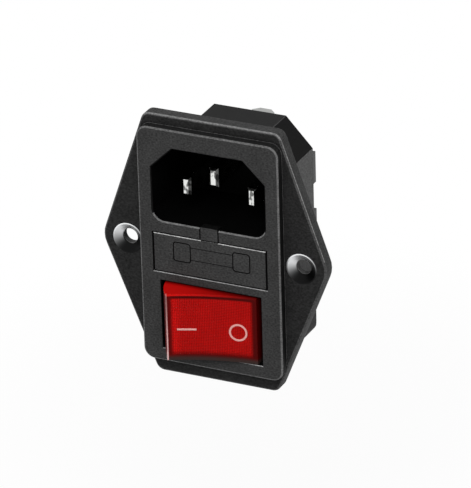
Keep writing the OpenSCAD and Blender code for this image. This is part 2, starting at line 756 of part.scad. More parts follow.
module rocker() {
    color(red) at_rocker() difference() {
        union() {
            difference() {
                linear_extrude(rocker_h, center = true) rocker_section(0, 0);
                linear_extrude(rocker_h - 2 * rocker_wall, center = true)
                    rocker_section(rocker_wall, rocker_lens_t);
            }
            for (s = [-1, 1]) {
                translate([0, 0, s * (rocker_h + rocker_gap + pivot_l) / 2])
                    cylinder(h = rocker_gap + pivot_l, r = pivot_d / 2, center = true);
                translate([0, 0, s * pole_pitch / 2]) along_y(post_front - 0.2, post_back, post_r);
            }
            // Saddles that hold the lamp against the lens
            for (s = [-1, 1]) translate([lamp_x, 0, s * lamp_l * 0.3])
                block(-lamp_d / 2 - 0.35, lamp_d / 2 + 0.35, post_front - 0.8, lamp_y, -0.4, 0.4);
        }
        for (s = [-1, 1]) translate([0, 0, s * pole_pitch / 2])
            along_y(post_front, post_back + cut, post_bore_r);
        for (s = [-1, 1]) lead_notch(s);
        translate([lamp_x, lamp_y, 0]) cylinder(h = lamp_l + 0.6, r = lamp_d / 2 + 0.05, center = true);
    }
}

// Notch through a post's wall where a lamp lead enters under the spring
module lead_notch(s) {
    block(s > 0 ? -post_r - 0.1 : 0, s > 0 ? 0 : post_r + 0.1, post_front, post_front + lead_d + 0.15,
          s * pole_pitch / 2 - lead_d / 2 - 0.1, s * pole_pitch / 2 + lead_d / 2 + 0.1);
}

module plunger(side) {
    color(brass) at_rocker() translate([0, 0, side * pole_pitch / 2]) {
        along_y(shoulder - plunger_stem_l, shoulder, stem_r);
        along_y(shoulder, plunger_reach - plunger_d / 2, plunger_d / 2);
        translate([0, plunger_reach - plunger_d / 2, 0]) rotate([-90, 0, 0]) difference() {
            sphere(plunger_d / 2);
            translate([0, 0, -plunger_d]) cylinder(h = plunger_d, r = plunger_d);
        }
    }
}

module plunger_upper() { plunger(1); }

module plunger_lower() { plunger(-1); }

module plunger_spring(side) {
    start = lead_y + lead_d / 2 + spring_wire_d / 2 + 0.03;
    rise = shoulder - plunger_stroke - 0.05 - spring_wire_d / 2 - start;
    steps = 12;
    color(bright) at_rocker() translate([0, start, side * pole_pitch / 2]) rotate([-90, 0, 0])
        tube([for (i = [0:spring_turns * steps]) [spring_r * cos(360 * i / steps),
              spring_r * sin(360 * i / steps), rise * i / (spring_turns * steps)]],
             spring_wire_d / 2, [0, 0, 1]);
}

module plunger_spring_upper() { plunger_spring(1); }

module plunger_spring_lower() { plunger_spring(-1); }

// Lamp, resistor and leads lie in the rocker's hollow

module neon_lamp() {
    color("#f0c8a8") at_rocker() translate([lamp_x, lamp_y, 0]) difference() {
        union() {
            cylinder(h = lamp_l - lamp_d / 2, r = lamp_d / 2, center = true);
            translate([0, 0, lamp_l / 2 - lamp_d / 4]) sphere(lamp_d / 2);
        }
        cylinder(h = lamp_l - lamp_d, r = lamp_d / 2 - 0.5, center = true);
        for (s = [-1, 1]) translate([s * electrode_x, 0, -lamp_l / 2])
            cylinder(h = lamp_l / 2, r = lead_d / 2, center = true, $fn = 16);
    }
}

module lamp_electrodes() {
    color(silver) at_rocker() for (s = [-1, 1]) translate([lamp_x + s * electrode_x, lamp_y, lamp_foot_z])
        cylinder(h = lamp_l * 0.62, r = lead_d / 2, $fn = 16);
}

module lamp_resistor() {
    color("#b9a37c") at_rocker() translate([-lamp_x, lead_y + resistor_d / 2, 0])
        cylinder(h = resistor_l, r = resistor_d / 2, center = true);
}

module lamp_leads() {
    r = lead_d / 2;
    foot = lamp_foot_z;
    lane_x = (post_r + lamp_x - lamp_d / 2) / 2;
    side_x = -lamp_x + resistor_d / 2 + 0.4;
    side_y = lead_y + resistor_d / 2;
    turn_z = -resistor_l / 2 - 0.7;
    pole = pole_pitch / 2;
    near = lamp_x - electrode_x;
    far = lamp_x + electrode_x;
    color(silver) at_rocker() {
        // Lamp to the lower spring
        tube([[near, lamp_y, foot], [near, lamp_y, foot - 0.4],
              [near - 0.3, (lamp_y + lead_y) / 2, foot - 1.2],
              [near - 0.8, lead_y, -pole - 0.1], [near - 1.3, lead_y, -pole], [0, lead_y, -pole]],
             r, [0.3, 1, 0]);
        // Lamp to the resistor, between the two posts
        tube([[far, lamp_y, foot], [far, lamp_y + 0.1, foot - 1.2], [far - 0.5, lamp_y + 0.1, foot - 1.7],
              [lane_x + 0.5, lamp_y, foot - 1.7], [lane_x, (lamp_y + side_y) / 2, foot - 1.2],
              [lane_x, side_y, foot - 0.5], [lane_x, side_y, -0.4], [lane_x - 0.4, side_y, 0],
              [side_x + 0.4, side_y, 0], [side_x, side_y, -0.4], [side_x, side_y, turn_z + 0.4],
              [side_x - 0.3, side_y, turn_z], [-lamp_x + 0.3, side_y, turn_z],
              [-lamp_x, side_y, turn_z + 0.3], [-lamp_x, side_y, -resistor_l / 2]], r, [0.1, 1, 0.05]);
        // Resistor to the upper spring
        tube([[-lamp_x, side_y, resistor_l / 2], [-lamp_x, side_y, pole - 0.9], [-lamp_x + 0.4, lead_y, pole],
              [0, lead_y, pole]], r, [0, 1, 0]);
    }
}

// Contact levers, in a frame whose origin is the fulcrum

module at_lever(z) {
    translate([0, fulcrum_y, z]) rotate([0, 0, -lever_tilt]) children();
}

module contact_lever(z) {
    bend = 0.8;
    level = 2.2;
    rear = [[-lever_open_arm, -lever_dish], [-level, -lever_dish], [-bend, 0], [bend, 0],
            [level, -lever_dish], [lever_contact_arm, -lever_dish]];
    front = [for (i = [len(rear) - 1:-1:0]) rear[i] - [0, lever_t]];
    color(copper) at_lever(z) difference() {
        linear_extrude(lever_w, center = true) polygon(concat(rear, front));
        for (s = [-1, 1]) block(-fork_half_x - 0.25, fork_half_x + 0.25, -lever_t - cut, cut,
                                s > 0 ? neck_half : -lever_w, s > 0 ? lever_w : -neck_half);
        translate([contact_x, 0, 0]) along_y(-lever_t - cut, cut, contact_d / 4);
    }
}

module lever_contact(z) {
    color(silver) at_lever(z) translate([contact_x, 0, 0]) {
        translate([0, -lever_dish, 0]) rotate([-90, 0, 0])
            cylinder(h = contact_h, r1 = contact_d / 2, r2 = contact_tip_r);
        along_y(-lever_dish - lever_t, -lever_dish, contact_d / 4);
    }
}

module contact_lever_upper() { contact_lever(pole_z[0]); }

module contact_lever_lower() { contact_lever(pole_z[1]); }

module lever_contact_upper() { lever_contact(pole_z[0]); }

module lever_contact_lower() { lever_contact(pole_z[1]); }

// Common terminal: knife edge and fork that carry a lever, with its tab
module common_terminal(z) {
    knife_y = fulcrum_y + contact_gap;
    color(brass) translate([0, 0, z]) {
        linear_extrude(2 * neck_half - 0.2, center = true)
            polygon([[0, knife_y], [fork_half_x, knife_y + 0.7], [fork_half_x, knife_y + 1.4],
                     [-fork_half_x, knife_y + 1.4], [-fork_half_x, knife_y + 0.7]]);
        for (s = [-1, 1]) mirror([0, 0, s > 0 ? 0 : 1])
            block(-fork_half_x, fork_half_x, fulcrum_y - lever_t - 0.5, knife_y + 1.4,
                  neck_half + 0.15, fork_w / 2);
        block(-fork_half_x, fork_half_x, knife_y + 1.2, plug_front_y, -fork_w / 2, fork_w / 2);
        tab(plug_front_y);
    }
}

module common_terminal_upper() { common_terminal(pole_z[0]); }

module common_terminal_lower() { common_terminal(pole_z[1]); }

// Switched terminal: shelf under the fixed contact, post and tab
module switched_terminal(z) {
    color(brass) difference() {
        translate([switched_x, 0, z]) {
            block(-blade_t / 2, blade_t / 2, shelf_y, plug_front_y, -fork_w / 2, fork_w / 2);
            tab(plug_front_y);
            block(contact_x - contact_d / 2 - 0.3 - switched_x, blade_t / 2, shelf_y, shelf_y + blade_t,
                  -fork_w / 2, fork_w / 2);
        }
        translate([contact_x, 0, z]) along_y(shelf_y - cut, shelf_y + blade_t + cut, contact_d / 4);
    }
}

module switched_terminal_upper() { switched_terminal(pole_z[0]); }

module switched_terminal_lower() { switched_terminal(pole_z[1]); }

module fixed_contact(z) {
    color(silver) translate([contact_x, 0, z]) {
        along_y(fixed_face_y, shelf_y, contact_d / 2);
        along_y(shelf_y, shelf_y + blade_t, contact_d / 4);
    }
}

module fixed_contact_upper() { fixed_contact(pole_z[0]); }

module fixed_contact_lower() { fixed_contact(pole_z[1]); }

housing();
rear_cover();
eyelet_left();
eyelet_right();
earth_pin();
line_pin();
neutral_pin();
line_contact();
fuse_contact();
fuse_drawer();
fuse_glass();
fuse_caps();
fuse_wire();
spare_fuse_glass();
spare_fuse_caps();
spare_fuse_wire();
rocker();
plunger_upper();
plunger_lower();
plunger_spring_upper();
plunger_spring_lower();
neon_lamp();
lamp_electrodes();
lamp_resistor();
lamp_leads();
contact_lever_upper();
contact_lever_lower();
lever_contact_upper();
lever_contact_lower();
common_terminal_upper();
common_terminal_lower();
switched_terminal_upper();
switched_terminal_lower();
fixed_contact_upper();
fixed_contact_lower();
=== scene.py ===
"""Looks of a panel power inlet with a fuse drawer and a lit rocker switch.

Sizes in the classes are in millimetres. Meshes are in metres, in the frame's own axes: X to the
right, Y into the panel and Z up, with the origin midway between the two screw holes.
"""

import json
import logging
import math
from dataclasses import dataclass
from enum import Enum
from typing import Callable, Dict, List, Optional, Sequence, Tuple, Union

import bmesh
import bpy
from mathutils import Matrix, Vector

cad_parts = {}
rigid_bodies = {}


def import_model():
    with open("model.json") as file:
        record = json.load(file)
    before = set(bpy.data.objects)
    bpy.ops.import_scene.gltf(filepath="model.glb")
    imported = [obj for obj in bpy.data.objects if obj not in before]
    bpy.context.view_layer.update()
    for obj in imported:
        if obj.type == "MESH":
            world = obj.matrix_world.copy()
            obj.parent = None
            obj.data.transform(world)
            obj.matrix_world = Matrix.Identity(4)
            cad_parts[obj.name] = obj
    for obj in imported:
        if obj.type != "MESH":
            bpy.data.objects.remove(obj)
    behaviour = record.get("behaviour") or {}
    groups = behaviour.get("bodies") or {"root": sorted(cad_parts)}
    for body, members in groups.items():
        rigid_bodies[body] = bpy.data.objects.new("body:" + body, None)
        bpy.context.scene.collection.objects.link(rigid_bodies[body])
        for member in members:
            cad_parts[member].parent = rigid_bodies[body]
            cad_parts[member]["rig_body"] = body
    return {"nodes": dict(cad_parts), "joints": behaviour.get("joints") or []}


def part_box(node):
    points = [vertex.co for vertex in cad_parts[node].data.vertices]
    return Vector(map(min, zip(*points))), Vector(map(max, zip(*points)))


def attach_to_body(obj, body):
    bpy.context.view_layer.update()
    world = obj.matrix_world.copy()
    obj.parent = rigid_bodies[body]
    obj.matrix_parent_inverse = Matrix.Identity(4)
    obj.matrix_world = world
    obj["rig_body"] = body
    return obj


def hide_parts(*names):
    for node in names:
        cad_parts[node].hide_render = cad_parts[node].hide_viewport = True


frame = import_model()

MM = 0.001
WHITE = (1.0, 1.0, 1.0)
LOG = logging.getLogger("power_inlet")
Colour = Tuple[float, float, float]
Point2 = Tuple[float, float]
Point3 = Tuple[float, float, float]
Span = Tuple[float, float]
Sockets = Dict[Union[int, str], object]

# How far a face may lie from its level and still count as on it.
SLACK_MM = 0.05
# Pitch of the lens's waffle.
CELL_MM = 0.34


class Value:
    """An output socket that takes part in sums.

    Args:
        graph: The tree that the socket belongs to.
        socket: The socket itself.
    """

    def __init__(self, graph: "Graph", socket: bpy.types.NodeSocket) -> None:
        """Keeps the tree and the socket."""
        self.graph = graph
        self.socket = socket

    def _math(self, operation: str, first: object, second: object) -> "Value":
        """Adds one Math node and returns its result."""
        return self.graph.node("ShaderNodeMath", {"operation": operation}, {0: first, 1: second})

    def __add__(self, other: object) -> "Value":
        """Sum of two values."""
        return self._math("ADD", self, other)

    def __radd__(self, other: object) -> "Value":
        """Sum with a number on the left."""
        return self._math("ADD", other, self)

    def __sub__(self, other: object) -> "Value":
        """Difference of two values."""
        return self._math("SUBTRACT", self, other)

    def __rsub__(self, other: object) -> "Value":
        """A number less this value."""
        return self._math("SUBTRACT", other, self)

    def __mul__(self, other: object) -> "Value":
        """Product of two values."""
        return self._math("MULTIPLY", self, other)

    def __rmul__(self, other: object) -> "Value":
        """Product with a number on the left."""
        return self._math("MULTIPLY", other, self)

    def __truediv__(self, other: object) -> "Value":
        """Quotient of two values."""
        return self._math("DIVIDE", self, other)

    def __abs__(self) -> "Value":
        """Size of this value without its sign."""
        return self.apply("ABSOLUTE")

    def apply(self, operation: str) -> "Value":
        """Result of a sum that takes one value, such as its square root."""
        return self._math(operation, self, None)

    def __gt__(self, other: object) -> "Value":
        """One where this value is the greater, and else zero."""
        return self._math("GREATER_THAN", self, other)


class Graph:
    """A node tree that is filled by expressions.

    Args:
        tree: The tree of a material, of the world or of a shape.
    """

    # Whole cells that keep a row's count above zero, and the share of a cell that a seam fades over.
    CELLS_BEFORE = 100.0
    SEAM_SHARE = 0.26

    def __init__(self, tree: bpy.types.NodeTree) -> None:
        """Starts with an empty tree."""
        self.tree = tree
        self.tree.nodes.clear()

    def node(self, kind: str, settings: Optional[Dict[str, object]] = None,
             sockets: Optional[Sockets] = None, out: Union[int, str] = 0) -> Value:
        """Adds one node.

        Args:
            kind: The node's type.
            settings: Properties of the node, set first.
            sockets: A value or a link for each input that is used.
            out: The output that is returned.

        Returns:
            The chosen output as a value.
        """
        made = self.tree.nodes.new(kind)
        for name, setting in (settings or {}).items():
            setattr(made, name, setting)
        for key, given in (sockets or {}).items():
            if isinstance(given, Value):
                self.tree.links.new(given.socket, made.inputs[key])
            elif given is not None:
                made.inputs[key].default_value = given
        return Value(self, made.outputs[out]) if len(made.outputs) else Value(self, None)

    def point(self) -> Value:
        """The place on the object, in metres."""
        return self.node("ShaderNodeTexCoord", out="Object")

    def attribute(self, name: str) -> Value:
        """A number that the mesh carries under this name."""
        return self.node("ShaderNodeAttribute", {"attribute_name": name}, out="Fac")

    def carried(self, name: str) -> Value:
        """A vector that the mesh carries under this name."""
        return self.node("ShaderNodeAttribute", {"attribute_name": name}, out="Vector")

    def parts(self, vector: Value) -> Tuple[Value, ...]:
        """The X, Y and Z of a vector."""
        first = self.node("ShaderNodeSeparateXYZ", {}, {0: vector})
        return tuple(Value(self, output) for output in first.socket.node.outputs)

    def ramp(self, value: Value, span: Span, low: float = 0.0, high: float = 1.0) -> Value:
        """Runs smoothly from low to high while the value goes over a span."""
        return self.node("ShaderNodeMapRange", {"interpolation_type": "SMOOTHSTEP"},
                         {0: value, 1: span[0], 2: span[1], 3: low, 4: high})

    def tinted(self, colour: Colour, tone: Value) -> Value:
        """A colour made lighter or darker by a tone."""
        grey = self.node("ShaderNodeCombineColor", {}, {0: tone, 1: tone, 2: tone})
        return self.node("ShaderNodeMix", {"data_type": "RGBA", "blend_type": "MULTIPLY"},
                         {0: 1.0, 6: rgba(colour), 7: grey}, out=2)

    def noise(self, cell_mm: float, detail: float = 2.0, stretch: Point3 = (1, 1, 1)) -> Value:
        """Smooth noise from 0 to 1.

        Args:
            cell_mm: Size of one lump.
            detail: Number of finer layers.
            stretch: How much longer the lumps are along X, Y and Z.

        Returns:
            The noise value.
        """
        scale = [1 / (MM * cell_mm * s) for s in stretch]
        mapped = self.node("ShaderNodeMapping", {}, {"Vector": self.point(), "Scale": scale})
        return self.node("ShaderNodeTexNoise", {}, {"Vector": mapped, "Scale": 1.0, "Detail": detail})

    def mix(self, mask: object, low: object, high: object) -> Value:
        """Blends two colours by a mask."""
        return self.node("ShaderNodeMix", {"data_type": "RGBA"}, {0: mask, 6: low, 7: high}, out=2)

    def seams(self, along_mm: Value, pitch_mm: float, low: float, high: float) -> Value:
        """A tone that is high within each cell of a row and low at the seams.

        Args:
            along_mm: The place along the row.
            pitch_mm: Length of one cell.
            low: Tone at a seam.
            high: Tone within a cell.

        Returns:
            The tone.
        """
        share = (along_mm / pitch_mm + self.CELLS_BEFORE).apply("FRACT")
        return self.ramp(abs(share - 0.5), (0.0, self.SEAM_SHARE), low, high)

    def bump(self, height: Value, depth_mm: float) -> Value:
        """Normal of a surface that is raised by height times depth_mm."""
        return self.node("ShaderNodeBump", {}, {"Height": height, "Distance": depth_mm * MM})


def rgba(colour: Colour, factor: float = 1.0) -> Tuple[float, float, float, float]:
    """A colour with full alpha, made lighter or darker by a factor."""
    return (*(min(1.0, c * factor) for c in colour), 1.0)


def spanned(span_mm: Span) -> Span:
    """A span of millimetres as metres."""
    return span_mm[0] * MM, span_mm[1] * MM


@dataclass(frozen=True)
class Finish:
    """What every finish has: its name and its own colour."""

    name: str
    colour: Colour

    def material(self) -> bpy.types.Material:
        """Builds the material once.

        Returns:
            The material, also when it was built before.
        """
        known = bpy.data.materials.get(self.name)
        if known is not None:
            return known
        made = bpy.data.materials.new(self.name)
        made.use_nodes = True
        graph = Graph(made.node_tree)
        shader = self.shade(graph)
        graph.node("ShaderNodeOutputMaterial", {}, {"Surface": shader})
        made.diffuse_color = rgba(self.colour)
        return made

    def shade(self, graph: Graph) -> Value:
        """Adds the shader to the tree, in the finish's own way."""
        raise NotImplementedError


@dataclass(frozen=True)
class MouldedPlastic(Finish):
    """Moulded thermoplastic whose tone, roughness and grain vary by zone.

    The mesh's attributes tone, rough and grain give the zone where zoned is true; the zone tones hold
    painted highlights, painted light and painted shade.
    """

    roughness: float = 0.5
    grain_mm: float = 0.3
    grain_layers: float = 3.0
    stretch: Point3 = (1.5, 1.0, 1.0)
    grain_depth_mm: float = 0.016
    mottle: float = 1.1
    cloud_grains: float = 14.0
    rough_spread: float = 0.12
    specular: float = 0.25
    zoned: bool = False
    # Painted shade on the body behind the flange, deepening towards its lower end.
    behind_y: Span = (0.5, 2.0)
    fall_z: Span = (8.0, -14.0)
    fall: float = 0.7

    def shade(self, graph: Graph) -> Value:
        """Adds the plastic's shader, with a fine spark-eroded grain.

        Args:
            graph: The material's tree.

        Returns:
            The shader.
        """
        fine = graph.noise(self.grain_mm, self.grain_layers, self.stretch)
        broad = graph.noise(self.grain_mm * self.cloud_grains)
        tone = 1.0 + (fine - 0.5) * (2 * self.mottle) + (broad - 0.5) * (0.5 * self.mottle)
        roughness = self.roughness
        height = fine
        if self.zoned:
            # The zone tones hold painted highlights and shade, with painted shade lower on the body
            # behind the flange.
            tone = tone * graph.attribute("tone") * (1.0 - self._painted_shade_behind(graph))
            roughness = graph.attribute("rough")
            height = fine * graph.attribute("grain")
        return graph.node("ShaderNodeBsdfPrincipled", {}, {
            "Base Color": graph.tinted(self.colour, tone),
            "Roughness": roughness + (broad - 0.5) * self.rough_spread,
            "Specular IOR Level": self.specular,
            "Normal": graph.bump(height, self.grain_depth_mm)})

    def _painted_shade_behind(self, graph: Graph) -> Value:
        """How much painted shade darkens the body behind the flange towards its lower end.

        Args:
            graph: The material's tree.

        Returns:
            The share that is taken off the tone.
        """
        _, deep, up = graph.parts(graph.point())
        behind = graph.ramp(deep, spanned(self.behind_y))
        return behind * graph.ramp(up, spanned(self.fall_z), 0.0, self.fall)


@dataclass(frozen=True)
class RolledMetal(Finish):
    """Plated or rolled metal with drawing marks and faint smudges."""

    roughness: float = 0.2
    brush: Point3 = (1.0, 14.0, 1.0)
    brush_mm: float = 0.12
    brush_rough: float = 0.1
    brush_depth_mm: float = 0.003
    smudge_mm: float = 2.5
    smudge: float = 0.12
    dull: float = 0.86
    spread: float = 0.2

    def shade(self, graph: Graph) -> Value:
        """Adds the metal's shader.

        Args:
            graph: The material's tree.

        Returns:
            The shader.
        """
        lines = graph.noise(self.brush_mm, stretch=self.brush)
        cloud = graph.noise(self.smudge_mm, 3.0)
        roughness = self.roughness + (cloud - 0.5) * self.smudge + (lines - 0.5) * self.brush_rough
        return graph.node("ShaderNodeBsdfPrincipled", {}, {
            "Base Color": graph.tinted(self.colour, self.tone(graph, cloud)), "Metallic": 1.0,
            "Roughness": roughness, "Normal": graph.bump(lines, self.brush_depth_mm)})

    def tone(self, graph: Graph, cloud: Value) -> Value:
        """How light the metal is at each place."""
        return self.dull + cloud * self.spread


@dataclass(frozen=True)
class PinPlate(RolledMetal):
    """Plate on the contact pins: painted dark reflection patches where it mirrors the recess, and
    darker tabs behind.
    """

    patch_mm: float = 1.5
    patch_stretch: Point3 = (0.6, 1.0, 1.0)
    patch_edge: Span = (0.40, 0.52)
    dark: float = 0.2
    tab: float = 0.35
    tab_y: Span = (6.0, 8.0)

    def tone(self, graph: Graph, cloud: Value) -> Value:
        """Painted bright and dark reflection patches in the recess, and an even tone on the tabs.

        Args:
            graph: The material's tree.
            cloud: The smudges.

        Returns:
            The tone.
        """
        _, deep, _ = graph.parts(graph.point())
        # Painted dark reflection patches, times the zone tone.
        patch = graph.noise(self.patch_mm, 1.0, self.patch_stretch)
        front = graph.ramp(patch, self.patch_edge, self.dark, 1.0) * graph.attribute("tone")
        back = graph.ramp(deep, spanned(self.tab_y))
        return front * (1.0 - back) + back * (self.tab + cloud * self.spread)


@dataclass(frozen=True)
class EyeletPlate(RolledMetal):
    """Plate on a screw eyelet, with a painted reflection that is bright above, grey at the sides and
    dark below, and painted shade in the bore.

    The mesh's attribute local gives the place from the eyelet's own middle, in millimetres.
    """

    # Painted reflection round the cone and painted shade in the bore.
    lean: Span = (-0.30, 0.88)
    lean_ends: Span = (-0.85, 0.95)
    least: float = 0.012
    bore_y: Span = (1.0, 1.2)
    bore_shade: float = 0.06

    def tone(self, graph: Graph, cloud: Value) -> Value:
        """A painted reflection that falls with the angle round the eyelet, and painted shade that
        grows with depth.

        Args:
            graph: The material's tree.
            cloud: The smudges, not used.

        Returns:
            The tone.
        """
        across, deep, up = graph.parts(graph.carried("local"))
        out = (across * across + up * up).apply("SQRT")
        side, top = self.lean
        share = graph.ramp((up * top + across * side) / out, self.lean_ends)
        return (self.least + share * share) * graph.ramp(deep, self.bore_y, 1.0, self.bore_shade)


@dataclass(frozen=True)
class RedLens(Finish):
    """Clear red plastic over a waffle: painted light in the window, painted shade on its border.

    The mesh's attribute local gives the place in the rocker's own millimetres.
    """

    roughness: float = 0.3
    rough_spread: float = 0.1
    grain_mm: float = 0.3
    grain_depth_mm: float = 0.004
    cloud_mm: float = 3.0
    dull: float = 0.88
    spread: float = 0.24
    specular: float = 0.03
    coat: float = 0.02
    coat_rough: float = 0.08
    # Painted light in the window over the waffle, painted shade on the border round it, and darker
    # seams between the cells.
    window: Span = (8.3, 6.3)
    side_fade: Span = (0.0, 0.9)
    top_fade: Span = (0.0, 0.35)
    foot_fade: Span = (0.0, 1.5)
    border: float = 0.18
    pitch: float = CELL_MM
    seam: float = 0.62
    cell: float = 1.12
    # Painted light, stronger towards the left side of the front.
    lit_left_x: Span = (-8.4, -5.5)
    lit_left: float = 1.4
    # Painted light on the top side, stronger at the left, and painted shade near the opening.
    end_z: Span = (6.66, 6.76)
    end_x: Span = (-9.0, 8.0)
    end_tones: Span = (1.5, 0.525)
    shade_y: Span = (-4.3, -5.9)
    shade_tone: float = 0.22
    # Painted dark reflection along the foot of the front.
    dark_reflection: Colour = (0.030, 0.017, 0.015)
    dark_reflection_z: Span = (-5.9, -6.85)
    # Painted highlight along the left edge, with coat added there.
    glint: Colour = (0.56, 0.31, 0.30)
    glint_x: Span = (-8.66, -8.76)
    glint_y: Span = (-3.95, -4.1)
    glint_z: Span = (7.0, -4.0)
    glint_least: float = 0.3
    glint_coat: float = 0.9

    def shade(self, graph: Graph) -> Value:
        """Adds the lens's shader.

        Args:
            graph: The material's tree.

        Returns:
            The shader.
        """
        across, deep, up = graph.parts(graph.carried("local"))
        cloud = graph.noise(self.cloud_mm, 3.0)
        fine = graph.noise(self.grain_mm)
        end = graph.ramp(up, self.end_z)
        face = self._face(graph, across, up) * (self.dull + cloud * self.spread)
        red = graph.tinted(self.colour, face * (1.0 - end) + self._end(graph, across) * end)
        # Painted dark reflection along the foot.
        reflected = graph.mix(graph.ramp(up, self.dark_reflection_z), red, rgba(self.dark_reflection))
        # Painted highlight along the left edge.
        edge = (graph.ramp(across, self.glint_x) * graph.ramp(deep, self.glint_y)
                * graph.ramp(up, self.glint_z, self.glint_least, 1.0))
        return graph.node("ShaderNodeBsdfPrincipled", {}, {
            "Base Color": graph.mix(edge, reflected, rgba(self.glint)),
            "Roughness": self.roughness + (fine - 0.5) * self.rough_spread,
            "Specular IOR Level": self.specular, "Coat Weight": self.coat + edge * self.glint_coat,
            "Coat Roughness": self.coat_rough, "Normal": graph.bump(fine, self.grain_depth_mm)})

    def _face(self, graph: Graph, across: Value, up: Value) -> Value:
        """Tone of the front: painted light on the cells in the window, a painted lighter left side
        and painted shade on the border.

        Args:
            graph: The material's tree.
            across: The place along the rocker.
            up: The place across it.

        Returns:
            The tone.
        """
        wide, high = self.window
        inside = (graph.ramp(wide - abs(across), self.side_fade)
                  * graph.ramp(high - up, self.top_fade) * graph.ramp(up + high, self.foot_fade))
        cells = (graph.seams(across, self.pitch, self.seam, self.cell)
                 * graph.seams(up, self.pitch, self.seam, self.cell))
        return (self.border + inside * (cells - self.border)) * graph.ramp(across, self.lit_left_x,
                                                                           self.lit_left, 1.0)

    def _end(self, graph: Graph, across: Value) -> Value:
        """Tone of the top side: painted light, stronger at the left, and painted shade near the
        opening.

        Args:
            graph: The material's tree.
            across: The place along the rocker.

        Returns:
            The tone.
        """
        _, depth, _ = graph.parts(graph.point())
        shade = graph.ramp(depth, spanned(self.shade_y), self.shade_tone, 1.0)
        return graph.ramp(across, self.end_x, *self.end_tones) * shade


@dataclass(frozen=True)
class ClearGlass(Finish):
    """Thin glass of the fuse tubes and the lamp."""

    roughness: float = 0.03
    ripple_mm: float = 1.6
    ripple_depth_mm: float = 0.01
    clear: float = 0.92
    index: float = 1.5

    def shade(self, graph: Graph) -> Value:
        """Adds the glass's shader.

        Args:
            graph: The material's tree.

        Returns:
            The shader.
        """
        ripple = graph.noise(self.ripple_mm, 1.0)
        return graph.node("ShaderNodeBsdfPrincipled", {}, {
            "Base Color": rgba(self.colour), "Roughness": self.roughness * (1.0 + ripple),
            "IOR": self.index, "Transmission Weight": self.clear,
            "Normal": graph.bump(ripple, self.ripple_depth_mm)})


@dataclass(frozen=True)
class PrintedInk(Finish):
    """Hot-stamped marking foil on the rocker."""

    roughness: float = 0.5
    rough_spread: float = 0.1
    grain_mm: float = 0.15
    grain_depth_mm: float = 0.004
    tones: Span = (0.92, 1.05)

    def shade(self, graph: Graph) -> Value:
        """Adds the ink's shader.

        Args:
            graph: The material's tree.

        Returns:
            The shader.
        """
        grain = graph.noise(self.grain_mm)
        dark, light = (rgba(self.colour, tone) for tone in self.tones)
        return graph.node("ShaderNodeBsdfPrincipled", {}, {
            "Base Color": graph.mix(grain, dark, light),
            "Roughness": self.roughness + grain * self.rough_spread,
            "Normal": graph.bump(grain, self.grain_depth_mm)})


class Finishes(Enum):
    """The finishes of the inlet's pieces."""

    CASE = MouldedPlastic("case_plastic", (1.0, 1.0, 1.02), specular=0.04, zoned=True)
    COVER = MouldedPlastic("cover_plastic", (0.030, 0.030, 0.031), roughness=0.42, grain_mm=0.4,
                           grain_depth_mm=0.006)
    EYELET = EyeletPlate("eyelet_plate", (0.90, 0.91, 0.92), roughness=0.36, brush=(1, 1, 1))
    PIN = PinPlate("pin_plate", (0.80, 0.81, 0.79), roughness=0.16)
    NICKEL = RolledMetal("nickel_plate", (0.74, 0.74, 0.71), roughness=0.16)
    COPPER = RolledMetal("spring_copper", (0.74, 0.43, 0.27), roughness=0.3)
    BRASS = RolledMetal("stamped_brass", (0.78, 0.60, 0.30), roughness=0.28)
    SILVER = RolledMetal("silver_face", (0.86, 0.86, 0.85), roughness=0.25, brush=(1, 1, 1))
    STEEL = RolledMetal("spring_wire", (0.56, 0.56, 0.57), roughness=0.28)
    TINNED = RolledMetal("tinned_wire", (0.76, 0.76, 0.77), roughness=0.3)
    GLASS = ClearGlass("fuse_tube_glass", (0.93, 0.97, 0.96))
    LAMP = ClearGlass("lamp_bulb_glass", (0.98, 0.90, 0.82))
    RESISTOR = MouldedPlastic("resistor_lacquer", (0.50, 0.37, 0.22), roughness=0.35, specular=0.5)
    LENS = RedLens("red_lens_plastic", (0.31, 0.0030, 0.0024))
    INK = PrintedInk("mark_ink", (0.58, 0.27, 0.25))


